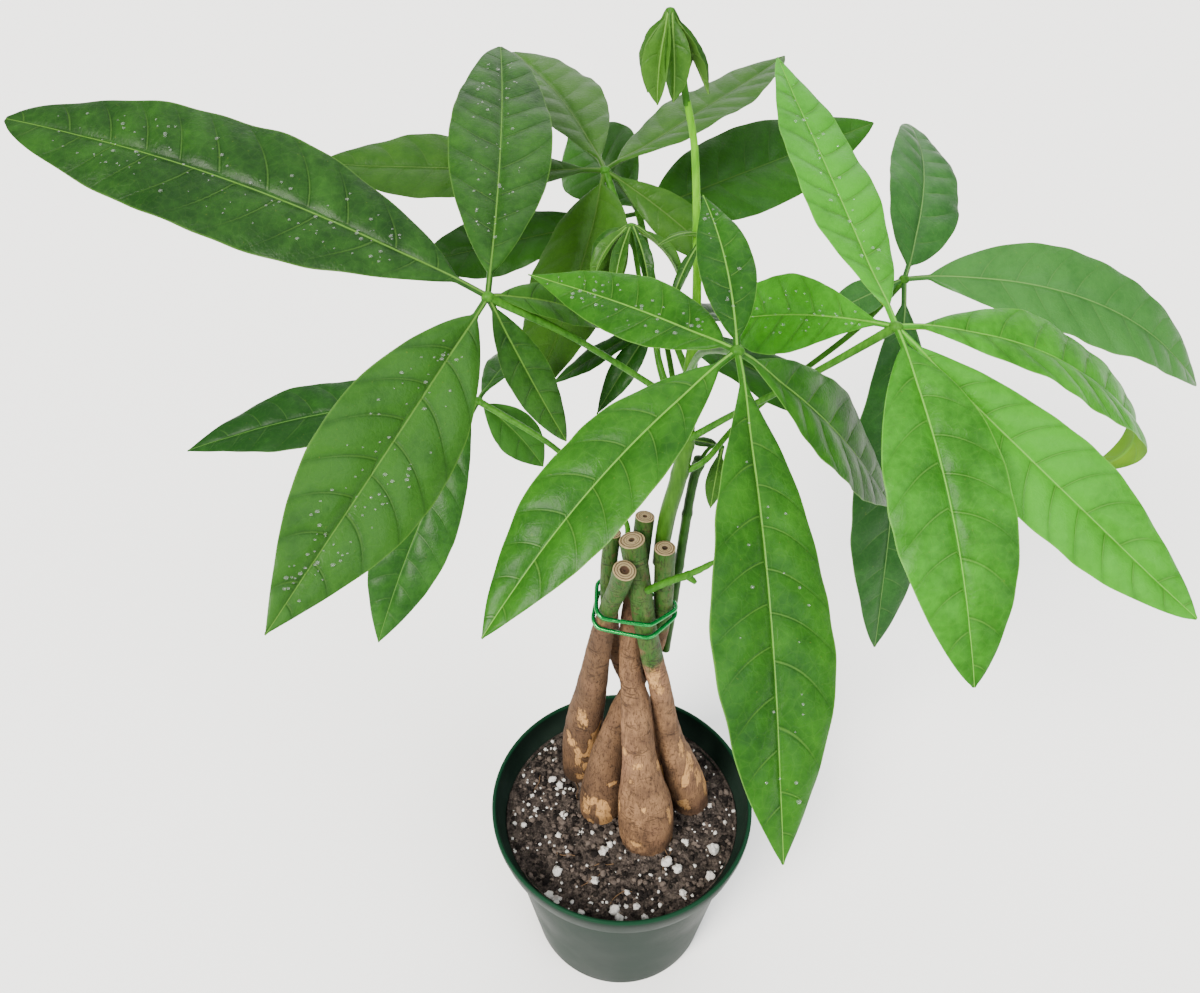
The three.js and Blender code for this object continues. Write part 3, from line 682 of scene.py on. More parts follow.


# Each leaf has the stalk's way from the shoot to the hub, and its leaflets as rows of bearing, rise,
# length, width, droop, turn, belly, point and swing. A leaflet that curls under has two more: how
# far, and the share of its length where the curl starts. Tints say how light each leaflet is: partly
# its own tone, and partly painted light and shade for how the light falls on it.
leaves = {
    "leaf_left": {
        "green": "left", "slot": "leaf_bright", "tints": [0.25, 0.5, 1.0, 0.6, 0.95],
        "stalk": [(19.4, 3.2, 333), (6.7, 1, 344.8), (-10.7, -6, 362), (-23, -12, 374), (-43, -20, 390)],
        "leaflets": [
            (164, 24, 158, 41, 23, 26, 0.95, 0.6, -3), (87, 26, 126, 33, 22, -5, 0.95, 0.6, 9),
            (26.5, -12, 50, 13, 38, -37, 0.95, 0.9, 19), (342, -66, 53, 14, -2, -47, 1, 0.75, 7),
            (237.5, -28, 112, 38, 2, 49, 0.9, 1, -4),
        ],
    },
    "leaf_front": {
        "green": "front", "slot": "leaf_bright", "tints": [0.55, 0.3, 0.5, 0.5, 0.5],
        "stalk": [(19.4, 3.3, 343), (17.6, -12, 359), (18.2, -30, 377), (20.6, -45, 388), (24, -60, 397)],
        "leaflets": [
            (132, -3, 76, 20, 3, 30, 0.8, 1.1, 11), (90, 32, 52, 15, 18, 7, 0.9, 1, 15),
            (18.5, -39, 97, 30, 21, -37, 1.05, 0.95, 9), (276, -22, 126, 33, 35, 20, 1.15, 0.9, -3),
            (215.5, -17, 97, 27, 27, 11, 0.95, 0.9, 9),
        ],
    },
    "leaf_right": {
        "green": "right", "slot": "leaf_bright", "tints": [0.6, 0.85, 0.65, 0.8, 0.45],
        "stalk": [(19.4, 3.2, 320), (32.5, -8, 339), (43, -16, 352.5), (57, -24, 369), (73, -30, 386)],
        "leaflets": [
            (130.5, -13, 70, 26, 19, 56, 1.4, 0.8, 3), (101, 20, 117, 26, 0, -8, 0.9, 0.8, 3),
            (9, -3, 128, 33, 58, -14, 1, 0.75, -2, 140, 0.8), (322, -29, 120, 30, 7, -33, 1.05, 0.75, 14),
            (282, -20, 104, 34, 42, -10, 0.95, 0.75, 2),
        ],
    },
    "leaf_far_right": {
        "green": "farRight", "slot": "leaf_dark",
        "stalk": [
            (18.2, 3.7, 305), (27, 3.5, 311), (38, 14, 318), (57, 28, 327), (82, 38, 344), (96, 40, 363),
        ],
        "leaflets": [
            (66, 27, 104, 31, 34, -26, 0.8, 0.6, 23), (351, 12, 130, 35, 63, -32, 0.9, 0.7, 14),
            (200, -12, 30, 13, 8, 30, 1.15, 0.9, 0), (267, -43, 137, 35, 34, 20, 0.95, 0.8, 0),
        ],
    },
    "leaf_back": {
        "green": "back", "slot": "leaf_dark", "tints": [0.45, 0.75, 0.5, 0.6, 0.8],
        "stalk": [(19.4, 3.3, 346), (15, 13, 353), (9, 28, 363), (-1, 45, 378), (-9, 60, 394)],
        "leaflets": [
            (184, 3, 98, 30, 1, 21, 1.15, 0.85, -3), (105.5, 12, 104, 34, 13, -1, 1.15, 0.6, 11),
            (45, 10, 105, 30, 4, 6, 0.95, 0.75, 4), (338, -23, 54, 16, 19, -48, 1.2, 1, 3),
            (256.5, -37, 90, 36, -14, -17, 0.8, 0.75, -10),
        ],
    },
    "leaf_back_low": {
        "green": "backLow", "slot": "leaf_dark",
        "stalk": [(19.4, 3.2, 315), (17, 15, 326), (13, 34, 342), (8, 58, 358), (4, 80, 369)],
        "leaflets": [
            (37, 3, 121, 37, -3, -37, 0.8, 0.75, -7), (108, 7, 82, 36, 15, 40, 1.15, 0.95, 5),
            (191, -7, 86, 28, 8, 29, 1.5, 0.8, -12),
        ],
    },
    "leaf_centre": {
        "green": "centre", "slot": "leaf_dark",
        "stalk": [(19.4, 3.2, 323), (14, 10, 332), (10, 17, 342), (8, 25, 354)],
        "leaflets": [
            (185, -28, 42, 11, 9, 8, 1.05, 0.8, -1), (223, -39, 37, 10, 15, 19, 0.9, 1, -9),
            (345, -17, 82, 24, 8, -10, 1.15, 0.85, 0), (45, -10, 55, 19, 16, 0, 1.15, 0.85, 0),
        ],
    },
    "leaf_left_low": {
        "green": "leftLow", "slot": "leaf_dark",
        "stalk": [
            (2, -1, 264), (0, 3.4, 271), (-0.6, 5, 279), (-6, 10, 285.5), (-19, 21, 293), (-33, 33, 298),
            (-59, 50, 304),
        ],
        "leaflets": [
            (70.5, 12, 53, 19, 25, 14, 1.15, 0.85, -10), (351.5, -38, 40, 18, 26, -51, 1, 0.85, 2),
            (238, -33, 106, 31, 28, 28, 1.05, 0.9, -6), (184.5, 5, 116, 32, 22, 13, 1.05, 0.95, 8),
        ],
    },
    "leaf_small": {
        "green": "young", "slot": "leaf_bright", "stalkDiameter": 1.4, "knot": 2.0,
        "stalk": [(26, 12, 304), (30, 15, 308), (34.5, 17, 306.5)],
        "leaflets": [
            (250, -52, 24, 7, 24, 20, 1.1, 0.85, 0), (140, -6, 15, 5, 20, 15, 1.1, 0.85, 0),
        ],
    },
    "leaf_bud": {
        "green": "young", "slot": "leaf_bright", "stalkDiameter": 1.2, "knot": 2.0,
        "stalk": [(18.6, 5, 397), (21, 4, 397)],
        "leaflets": [
            (196, 30, 16, 3, 70, 0, 1.1, 0.85, 0), (232, -20, 24, 4, 50, 0, 1.1, 0.85, 0),
        ],
    },
    "young_leaf_back": {
        "green": "young", "slot": "leaf_bright", "stalkDiameter": 1.6, "knot": 3.4, "fold": 0.9,
        "stalk": [(19.4, 3.2, 329), (12.3, 11, 339.5), (8, 16.5, 352.5), (3.7, 21, 366), (-0.5, 27, 389)],
        "leaflets": [
            (190, -8, 19, 5, 72, 0, 1.1, 0.85, 0), (218, -8, 23, 5.5, 72, 0, 1.1, 0.85, 0),
            (250, -8, 24, 5, 72, 0, 1.1, 0.85, 0), (290, -8, 24, 5, 72, 0, 1.1, 0.85, 0),
            (335, -8, 27, 5, 72, 0, 1.1, 0.85, 0),
        ],
    },
    "young_leaf_top": {
        "green": "young", "slot": "leaf_bright", "stalkDiameter": 1.8, "knot": 2.6, "fold": 0.9,
        "stalk": [(13.6, 6.9, 435), (11.3, 7.4, 446), (9.6, 7.9, 453), (7.9, 8.4, 459)],
        "leaflets": [
            (185, -56, 22, 7.5, 40, 0, 1, 0.85, 0), (240, -56, 24, 8, 42, 0, 1, 0.85, 0),
            (286, -56, 23, 7.5, 40, 0, 1, 0.85, 0), (352, -54, 24, 6.5, 14, 0, 1.1, 0.9, 0),
            (50, -58, 22, 7, 36, 0, 1, 0.85, 0), (115, -58, 22, 7.5, 38, 0, 1, 0.85, 0),
        ],
    },
}


def makeLeaf(name, parts):
    shape = newShape()
    hub = Vector(parts["stalk"][-1])
    diameter = parts.get("stalkDiameter", blade["stalkDiameter"])
    count = len(parts["stalk"])
    rows = []
    for i, point in enumerate(parts["stalk"]):
        swell = 1.25 if i in (0, count - 1) else (1.0 if i in (1, count - 2) else 0.92)
        rows.append((*point, diameter * swell))
    addTube(shape, rows, each=10, sides=14, mat=2, openStart=True, tint=0.4)
    knot = parts.get("knot", blade["knot"])
    addLump(shape, hub, knot, mat=2, rows=8, sides=14, squash=0.75, rough=0.06)
    fold = parts.get("fold", blade["channel"])
    surfaces = []
    for i, row in enumerate(parts["leaflets"]):
        seed = (len(name) * 3 + i * 7) % 23 + 0.5
        tint = parts["tints"][i] if "tints" in parts else 0.5 + 0.45 * math.sin(seed * 2.1)
        surfaces.append(addLeaflet(shape, hub, row, fold, seed, tint))
    green = parts["green"]
    makeObject(name, shape, [leafTops[green], leafUnders[green], stalkMaterial], name, parts["slot"])
    return surfaces


# Water drops, and the leaflets they lie on: leaf, number and how many.
dropLook = {
    "sizes": (0.5, 0.6, 0.7, 0.8, 1.0, 1.3), "along": (0.16, 0.9), "across": 0.6,
    "transmission": 0.85, "ior": 1.33, "shine": 0.4,
}
wetLeaflets = [
    ("leaf_left", 0, 110), ("leaf_left", 1, 60), ("leaf_left", 4, 90), ("leaf_front", 0, 50),
    ("leaf_front", 3, 22), ("leaf_front", 1, 16), ("leaf_right", 0, 40), ("leaf_right", 1, 30),
]


def makeDrops(surfaces):
    drop, tree, shader = newMaterial("water", roughness=0.02)
    # painted highlight: the white base colour shows in the share that is not transmitted, so each drop
    # reads as a light dot
    shader.inputs["Base Color"].default_value = (1, 1, 1, 1)
    shader.inputs["Transmission Weight"].default_value = dropLook["transmission"]
    shader.inputs["IOR"].default_value = dropLook["ior"]
    ripple = noiseOf(tree, placeOf(tree), 900, 2)
    tree.links.new(bumpOf(tree, ripple, 0.1, 0.1 * mm), shader.inputs["Normal"])
    # the rest of each drop is clear, so the leaf below it is lit
    clear = tree.nodes.new("ShaderNodeBsdfTransparent")
    mixed = tree.nodes.new("ShaderNodeMixShader")
    mixed.inputs[0].default_value = dropLook["shine"]
    tree.links.new(clear.outputs[0], mixed.inputs[1])
    tree.links.new(shader.outputs[0], mixed.inputs[2])
    tree.links.new(mixed.outputs[0], tree.nodes["Material Output"].inputs["Surface"])
    for name, number, count in wetLeaflets:
        shape = newShape()
        at = surfaces[name][number]
        for _ in range(count):
            share = random.uniform(*dropLook["along"])
            v = random.uniform(-dropLook["across"], dropLook["across"])
            size = random.choice(dropLook["sizes"])
            point, _, _, up = at(share, v)
            addLump(shape, point + up * size * 0.12, size, rows=6, sides=10, squash=0.6, rough=0.08)
        makeObject(f"drops_{name}_{number}", shape, [drop])


# Each trunk is a row of x, y, z and diameter from its root in the soil to its sawn top.
trunks = {
    "trunk_left": [
        (-20, 25, 60, 13), (-20, 25, 90, 19.5), (-19.3, 23, 112, 20), (-18, 18.5, 141, 18),
        (-15.5, 14, 162, 15.4), (-13.8, 9, 181, 13.8), (-12, 5, 200, 11.8), (-10.3, 1, 217, 10.2),
        (-8.2, -2.5, 234, 8.8), (-6.2, -5.5, 247, 8.2), (-3.6, -9, 259, 8.2), (-1.6, -12.5, 271.5, 9),
    ],
    "trunk_front": [
        (12.5, -13, 56, 14), (12, -12.5, 84, 25), (11.3, -12, 104, 26.4), (10.4, -11, 118, 24.6),
        (8.6, -10, 134, 19.8), (7, -8, 149, 15.9), (5.8, -6.5, 166, 14.4), (4.4, -4.5, 183, 12.2),
        (2.5, 0, 199, 10.4), (2, 3, 214, 9.4), (2, 4.5, 228, 8.6), (3.1, 5, 240, 8),
        (4.4, 6, 253, 7.8), (6.5, 8, 280, 7.6),
    ],
    "trunk_right": [
        (36, 7, 60, 12), (34.4, 6, 88, 18.8), (31.4, 4.5, 107, 19.4), (25.8, 3, 131, 15.6),
        (21.6, 2, 148, 13), (18.6, 1, 164, 11.4), (16.6, -0.6, 180, 10.4), (14.2, -3.3, 196, 9.6),
        (11.4, -4, 210, 9.4), (8.9, -5.5, 224, 9.2), (6.8, -6, 238, 9.2), (5.2, -5.2, 251, 9.4),
        (3.2, -3.4, 265, 9.7), (1.2, -3, 278, 9.9),
    ],
    "trunk_middle": [
        (-11, 1, 58, 14), (-10, 2, 90, 21.4), (-8.9, 3, 108, 21.2), (-7.6, 4.5, 128, 17),
        (-4.4, 6.5, 145, 13), (-0.6, 8, 162, 10.8), (3.6, 8.2, 176, 9.4), (8.9, 7.6, 194, 8.5),
        (12.6, 5.5, 209, 8.3), (14.4, 2, 228, 8.1), (14.6, 0, 242, 8), (14, -1, 272, 8.2),
    ],
    "trunk_back": [
        (19, 26, 60, 12), (17.8, 25, 90, 19), (15.4, 24, 110, 17), (11, 21.5, 139, 12.6),
        (4, 20, 166, 10), (-1.8, 16, 189, 8.8), (-5.5, 12, 208, 8), (-6.6, 8, 227, 7.4),
        (-7.4, 5.6, 243, 6.9), (-7.1, 5.2, 259, 6.7), (-5.7, 5.4, 274, 6.4),
    ],
}
# Each trunk's bark: how much darker it is, the height at which it turns green, the height of its peeled
# patches, ragged collars as height and how far the bark below stands out, pale spots as x, y, z,
# width and height, and the pith of its sawn end.
barkLooks = {
    "trunk_left": {
        "darkening": 0.75, "green": 244, "peel": 118, "collars": [(128, 0.35), (236, 0.2)],
        "pith": "#3a281b", "pithSize": 0.4,
        "spots": [
            (-19, 7.9, 154.4, 4.5, 15), (-27, 14, 134, 5, 6),
            (-24.6, 12.6, 129, 5, 6), (-21.8, 13.1, 114, 3, 12),
            (-18, 13, 108, 2.5, 9), (-20.4, 14.4, 98.3, 6, 5), (-8, 2, 238, 6, 7),
        ],
    },
    "trunk_front": {
        "darkening": 0.0, "green": 240, "peel": 96, "collars": [(124, 0.5), (160, 0.15)],
        "pith": "#3a2b1c", "pithSize": 0.24,
        "spots": [
            (0.4, -11.9, 157.1, 4, 5), (6.3, -15.7, 151, 4, 4),
            (16, -9.7, 144.4, 4, 5), (21.6, -17.6, 113.4, 3, 14),
            (9.5, -21.6, 125.8, 2.5, 3), (5.6, -24.8, 100.5, 5, 4),
            (23.8, -16.5, 88, 4, 14), (-1, -14, 118, 2.5, 9),
            (14, -22, 110, 2, 3), (3, -17, 141, 2.2, 3),
        ],
    },
    "trunk_right": {
        "darkening": 0.15, "green": 212, "peel": 122, "collars": [(140, 0.3), (180, 0.2)],
        "pith": "#3f301f", "pithSize": 0.22,
        "spots": [
            (27.4, -2.4, 147, 3.5, 12), (31.5, -1.2, 134, 4.5, 14),
            (36, 0, 121, 4.5, 14), (40, 2, 108, 3.5, 12),
            (31.6, -4.7, 101.8, 4, 6), (11.5, -8.5, 203, 5, 14), (15, -7, 196, 3, 8),
        ],
    },
    "trunk_middle": {
        "darkening": 0.55, "green": 224, "peel": 104, "collars": [(112, 0.3)],
        "pith": "#2c2015", "pithSize": 0.28,
        "spots": [
            (-17.5, -4.4, 103, 5, 12), (-5.1, -4.8, 120.9, 5, 2.4), (-15.2, -7.1, 92.8, 4, 4),
            (-8, -8, 104, 1.8, 8),
        ],
    },
    "trunk_back": {
        "darkening": 0.4, "green": 226, "peel": 120, "collars": [(124, 0.3)],
        "pith": "#35291c", "pithSize": 0.3,
        "spots": [(22, 16, 100, 7, 12)],
    },
}
barkColours = {
    "tan": "#785a3f", "brown": "#4f3a2a", "darkBrown": "#3f2f22", "peel": "#a47b4c",
    "green": "#234715", "greyGreen": "#384a20", "dark": "#1c140f", "pink": "#71523f",
    "sawn": "#a3906a", "ring": "#3a2a1a", "heart": "#77654a",
}


# Grain of all bark: noise scales, how far its marks show, and depth of the relief.
barkGrain = {
    "fibre": 520, "broad": 75, "zones": 34, "patch": 62, "tear": 900, "mottle": 330,
    "crack": 1300, "wrinkle": 900, "scar": 190, "scarGaps": 110,
    "tearing": 4.2,                      # how ragged the placed spots are
    "pinkShare": 0.55, "brownShare": 0.5, "mottleShare": 0.6, "lineShare": 0.75, "stainShare": 0.55,
    "stainTop": 104, "stainFoot": 88,    # heights between which soil stains the foot
    "specular": 0.12, "gloss": (0.85, 0.6), "bump": 0.6,
}


def barkMaterial(name, look):
    made, tree, shader = newMaterial(name, specular=barkGrain["specular"])
    shift = (look["peel"] * 0.013, look["green"] * 0.007, 0)   # no two trunks alike
    place = placeOf(tree, (1, 1, 1), shift)
    tall = placeOf(tree, (1, 1, 0.22), shift)
    flat = placeOf(tree, (0.3, 0.3, 1.6), shift)
    height = heightOf(tree)
    fibre = noiseOf(tree, tall, barkGrain["fibre"], 6, 0.65)
    broad = noiseOf(tree, place, barkGrain["broad"], 4)
    share = plus(tree, times(tree, fibre, 0.55), times(tree, broad, 0.6))
    brown, tan = colour(barkColours["brown"]), colour(barkColours["tan"])
    body = blendColour(tree, rangeOf(tree, share, 0.42, 0.72), brown, tan)
    # each trunk is darkened by its own amount, varying in broad patches
    darkened = rangeOf(tree, broad, 0.2, 0.6, look["darkening"], look["darkening"] * 0.8)
    body = blendColour(tree, darkened, body, colour(barkColours["darkBrown"]))
    zones = noiseOf(tree, placeOf(tree, (1, 1, 0.6), shift), barkGrain["zones"], 3, 0.5)
    pink = rangeOf(tree, zones, 0.5, 0.7, 0.0, barkGrain["pinkShare"])
    body = blendColour(tree, pink, body, colour(barkColours["pink"]))
    body = blendColour(tree, rangeOf(tree, zones, 0.46, 0.3, 0.0, barkGrain["brownShare"]), body, brown)
    # peeled pale patches with a crisp edge: random ones, then the placed spots
    patch = noiseOf(tree, placeOf(tree, (1, 1, 0.55), shift), barkGrain["patch"], 3, 0.5, 0.4)
    near = rangeOf(tree, awayFrom(tree, height, look["peel"] * mm), 45 * mm, 0.0)
    patchShare = rangeOf(tree, plus(tree, patch, times(tree, near, 0.06)), 0.69, 0.71)
    below = rangeOf(tree, height, look["green"] * mm, (look["green"] - 25) * mm)
    patchShare = times(tree, patchShare, below)
    tears = noiseOf(tree, tall, barkGrain["tear"], 5, 0.7)
    torn = times(tree, minus(tree, tears, 0.5), barkGrain["tearing"])
    for x, y, z, wide, deep in look["spots"]:
        scale = [2 / (v * mm) for v in (wide, wide, deep)]
        away = tree.nodes.new("ShaderNodeVectorMath")
        away.operation = "LENGTH"
        shifted = placeOf(tree, scale, [-v * mm * s for v, s in zip((x, y, z), scale)])
        tree.links.new(shifted, away.inputs[0])
        spot = rangeOf(tree, plus(tree, away.outputs["Value"], torn), 1.1, 0.95)
        patchShare = calc(tree, "MAXIMUM", patchShare, spot)
    peel = times(tree, patchShare, rangeOf(tree, fibre, 0.25, 0.6, 0.6, 1.0))
    body = blendColour(tree, peel, body, colour(barkColours["peel"]))
    # green young bark above
    ragged = plus(tree, height, times(tree, minus(tree, broad, 0.5), 50 * mm))
    greenShare = rangeOf(tree, ragged, (look["green"] - 4) * mm, (look["green"] + 4) * mm)
    young = rangeOf(tree, fibre, 0.35, 0.65)
    green = blendColour(tree, young, colour(barkColours["green"]), colour(barkColours["greyGreen"]))
    mottle = rangeOf(tree, noiseOf(tree, place, barkGrain["mottle"], 3), 0.58, 0.7)
    green = tintOver(tree, green, mottle, barkGrain["mottleShare"], barkColours["brown"])
    body = blendColour(tree, greenShare, body, green)
    # fine cracks, wrinkles and scars round the stem
    cracks = rangeOf(tree, noiseOf(tree, tall, barkGrain["crack"], 3, 0.7), 0.36, 0.44, 1.0, 0.0)
    wrinkles = rangeOf(tree, noiseOf(tree, flat, barkGrain["wrinkle"], 3, 0.6), 0.6, 0.72)
    lines = calc(tree, "MAXIMUM", times(tree, cracks, 0.6), times(tree, wrinkles, 0.45))
    around = noiseOf(tree, placeOf(tree, (0.22, 0.22, 1.0), shift), barkGrain["scar"], 3, 0.6)
    scars = rangeOf(tree, awayFrom(tree, around, 0.5), 0.022, 0.006)
    gaps = rangeOf(tree, noiseOf(tree, place, barkGrain["scarGaps"], 2), 0.48, 0.6)
    scars = times(tree, scars, gaps)
    lines = calc(tree, "MAXIMUM", lines, times(tree, scars, 0.8))
    body = tintOver(tree, body, lines, barkGrain["lineShare"], barkColours["dark"])
    # soil stain at the foot
    stain = rangeOf(tree, ragged, barkGrain["stainTop"] * mm, barkGrain["stainFoot"] * mm)
    body = tintOver(tree, body, stain, barkGrain["stainShare"], barkColours["dark"])
    relief = minus(tree, times(tree, fibre, 0.8), lines)
    relief = minus(tree, relief, times(tree, patchShare, 0.5))
    rough = rangeOf(tree, greenShare, 0.0, 1.0, *barkGrain["gloss"])
    dress(tree, shader, body, bumpOf(tree, relief, 0.8, barkGrain["bump"] * mm), rough)
    return made


# Dark rings of a sawn end: share of the radius, width and strength.
sawnRings = [(0.83, 0.07, 0.95), (0.6, 0.06, 0.8), (0.42, 0.05, 0.5)]


def sawnMaterial(name, look):
    made, tree, shader = newMaterial(name, roughness=0.8, specular=0.2)
    u, v = uvOf(tree, "blade")
    dx = minus(tree, u, 0.5)
    dy = minus(tree, v, 0.5)
    far = calc(tree, "SQRT", plus(tree, times(tree, dx, dx), times(tree, dy, dy)))
    far = times(tree, far, 2.0)
    place = placeOf(tree)
    far = plus(tree, far, times(tree, minus(tree, noiseOf(tree, place, 350, 3), 0.5), 0.16))
    wood = noiseOf(tree, place, 700, 4)
    body = blendColour(tree, wood, colour(barkColours["heart"]), colour(barkColours["sawn"]))
    for middle, width, strength in sawnRings:
        ring = rangeOf(tree, awayFrom(tree, far, middle), width, width * 0.3)
        body = tintOver(tree, body, ring, strength, barkColours["ring"])
    pith = rangeOf(tree, far, look["pithSize"] + 0.05, look["pithSize"] - 0.05)
    body = blendColour(tree, pith, body, colour(look["pith"]))
    body = tintOver(tree, body, rangeOf(tree, far, 0.16, 0.06), 0.7, barkColours["dark"])
    grain = noiseOf(tree, place, 1500, 4)
    dress(tree, shader, body, bumpOf(tree, minus(tree, grain, pith), 0.8, 0.4 * mm))
    return made


# How far the bark of all trunks stands out: broad lumps, upright fibres, wrinkles round the stem.
barkRelief = {"coarse": 0.45, "fibre": 0.16, "wrinkle": 0.13, "sides": 56, "each": 14, "sawnDip": 0.7}


def makeTrunk(name, rows):
    look = barkLooks[name]
    seed = look["peel"] + look["green"]
    sides = barkRelief["sides"]

    def relief(point, turn):
        z = point.z
        coarse = noise.noise(Vector((point.x / 9, point.y / 9, z / 22 + seed)))
        fibre = noise.noise(Vector((point.x / 1.6, point.y / 1.6, z / 11 + seed)))
        wrinkle = noise.noise(Vector((point.x / 12, point.y / 12, z / 1.5 + seed)))
        out = barkRelief["coarse"] * coarse + barkRelief["fibre"] * fibre
        out += barkRelief["wrinkle"] * wrinkle - 0.2
        for at, stand in look["collars"]:
            ragged = at + 3.5 * noise.noise(Vector((math.cos(turn) * 2, math.sin(turn) * 2, seed)))
            if z < ragged:
                out += stand * math.exp(-(ragged - z) / 14)
        return out * min(1.0, max(0.25, (280 - z) / 80))   # smoother where it is young

    shape = newShape()
    rings = ringsAlong(smoothRows(rows, barkRelief["each"]), sides, relief)
    addRings(shape, rings, sides)
    addCap(shape, rings[0][0], rings[0][1], flip=True)
    ring, centre, ahead, _ = rings[-1]
    pith = look["pithSize"]

    def dip(share):
        rim = 0.25 * math.sin(min(1.0, share * 6) * math.pi / 2)
        return ahead * (rim - barkRelief["sawnDip"] * max(0.0, min(1.0, (share - 1 + pith) * 6)))

    addCap(shape, ring, centre, mat=1, rings=22, dip=dip)
    finishes = [barkMaterial("bark_" + name, look), sawnMaterial("sawn_" + name, look)]
    makeObject(name, shape, finishes, name, "bark")


# Green shoots, as rows of x, y, z and diameter, with the heights of their joints.
shoots = {
    "main": [
        (12.6, 7.6, 256, 5.2), (13.7, 6.8, 270, 6.3), (15, 5.2, 285, 6.4), (17.6, 4, 301, 6.2),
        (19.4, 3.2, 318, 5.8), (19.4, 3.2, 337, 5.3), (19.4, 3.4, 351, 4.6), (19.9, 3.6, 364, 3.4),
        (19.8, 4, 376, 2.9), (18.6, 5, 397, 2.5), (16.5, 6, 422, 2.2), (13.6, 6.9, 436, 2),
    ],
    "side": [
        (17.6, 9, 202, 3.8), (19.2, 9.2, 228, 4.1), (21.8, 10.2, 266, 3.9), (23.8, 11.5, 291, 3.7),
        (26, 12, 305, 4.4),
    ],
    "twig": [
        (7.6, -8.7, 257, 3), (13.6, -12, 264.5, 3), (21.5, -15, 271.7, 2.8), (26.3, -17, 277, 2.4),
        (31.2, -18, 282, 1.6),
    ],
    "nub": [(21.5, -15, 271.7, 2.8), (24.6, -15.8, 268.6, 2)],
    "mainJoints": (305, 318, 333, 346, 397), "sideJoints": (226, 252, 279, 302),
}


# Swellings at the heights given.
def jointSwell(z, heights, size, length):
    return sum(size * math.exp(-((z - height) / length) ** 2) for height in heights)


def makeShoots():
    def nodes(point, turn):
        swell = jointSwell(point.z, shoots["mainJoints"], 0.5, 2.2)
        return swell * (0.7 + 0.3 * math.cos(turn)) * (1.0 if point.z < 350 else 0.5)

    def knots(point, turn):
        return jointSwell(point.z, shoots["sideJoints"], 0.35, 1.6) + 0.12 * noise.noise(point / 5)

    def lumps(point, turn):
        return 0.3 * noise.noise(point / 2.5)

    main = newShape()
    addTube(main, shoots["main"], each=22, sides=24, relief=nodes)
    makeObject("shoot_main", main, [stemMaterial("stem_main", "main", lit=True)], "shoot_main", "stem")

    side = newShape()
    addTube(side, shoots["side"], each=24, sides=20, relief=knots)
    makeObject("shoot_side", side, [stemMaterial("stem_side", "dark")], "shoot_side", "dark_stem")

    twig = newShape()
    addTube(twig, shoots["twig"], each=12, sides=14, relief=lumps)
    addTube(twig, shoots["nub"], each=8, sides=12, relief=lumps)
    makeObject("broken_twig", twig, [stemMaterial("stem_twig", "stalk")], "broken_twig", "stem")


# The wire goes round the trunks twice, at these heights.
tieLook = {
    "diameter": 1.7, "clear": 0.1, "turns": 2, "sides": 12, "colour": "#02602a", "bright": "#058a3c",
    "heights": [244.5, 243.6, 241, 238.6, 237.6, 236, 233.4, 234.6, 233.4],
    "metallic": 0.75, "gloss": (0.16, 0.34),
}


# Centre and radius of a trunk at one height.
def trunkAt(way, z):
    for a, b in zip(way, way[1:]):
        if a.z <= z <= b.z:
            here = a.lerp(b, (z - a.z) / (b.z - a.z))
            return Vector((here.x, here.y, z)), here[3] / 2


def makeTie():
    ways = [smoothRows(rows, 10) for rows in trunks.values()]
    heights = smoothRows([(z, 0, 0, 0) for z in tieLook["heights"]], 16)
    count = len(heights) - 1
    reach = tieLook["clear"] + tieLook["diameter"] / 2 + 0.3
    points = []
    for i, row in enumerate(heights):
        turn = math.pi / 2 + 2 * math.pi * tieLook["turns"] * i / count
        out = Vector((math.cos(turn), math.sin(turn), 0))
        touching = [c + out * (r + reach) for c, r in (trunkAt(way, row.x) for way in ways)]
        points.append(max(touching, key=lambda p: p.dot(out)))
    # the wire bridges the hollows between trunks in straight runs
    for _ in range(3):
        points = [points[0]] + [
            (a + b * 2 + c) / 4 for a, b, c in zip(points, points[1:], points[2:])
        ] + [points[-1]]
    shape = newShape()
    rings = ringsAlong([Vector((*p, tieLook["diameter"])) for p in points], tieLook["sides"])
    addRings(shape, rings, tieLook["sides"], unit=10)
    addCap(shape, rings[0][0], rings[0][1], flip=True)
    addCap(shape, rings[-1][0], rings[-1][1])
    wire, tree, shader = newMaterial("green_wire", metallic=tieLook["metallic"])
    place = placeOf(tree)
    enamel = noiseOf(tree, place, 300, 3)
    body = blendColour(tree, enamel, colour(tieLook["colour"]), colour(tieLook["bright"]))
    rough = rangeOf(tree, noiseOf(tree, place, 500, 3), 0.3, 0.7, *tieLook["gloss"])
    dress(tree, shader, body, bumpOf(tree, noiseOf(tree, place, 1500, 2), 0.2, 0.2 * mm), rough)
    makeObject("tie_wire", shape, [wire], "tie_wire", "tie")


potLook = {
    "rim": 127.0, "height": 102.0, "foot": 91.0, "wall": 1.8,
    "band": 13.0, "step": 6.0, "taper": 1.6,   # the band under the rim, how far it stands out and narrows
    "holes": 6, "holeDiameter": 9.0, "holeCircle": 62.0, "sides": 160,
    "colour": "#121d17", "worn": "#1d2822", "lip": "#0e2c1c", "dust": "#3c3a35",
    "cloudScale": 25, "scuffScale": 800, "dustScale": 1800, "grainScale": 1600,
    "scuffShare": 0.25, "dustShare": 0.3, "bump": 0.3, "specular": 0.03, "gloss": (0.36, 0.5),
}


def roundPoint(r, turn, z):
    return Vector((r * math.cos(turn), r * math.sin(turn), z))


# Points of an arc in the pot's profile.
def arc(cx, cz, r, start, end, steps):
    turns = [math.radians(start + (end - start) * k / steps) for k in range(steps + 1)]
    return [(cx + r * math.cos(turn), cz + r * math.sin(turn)) for turn in turns]


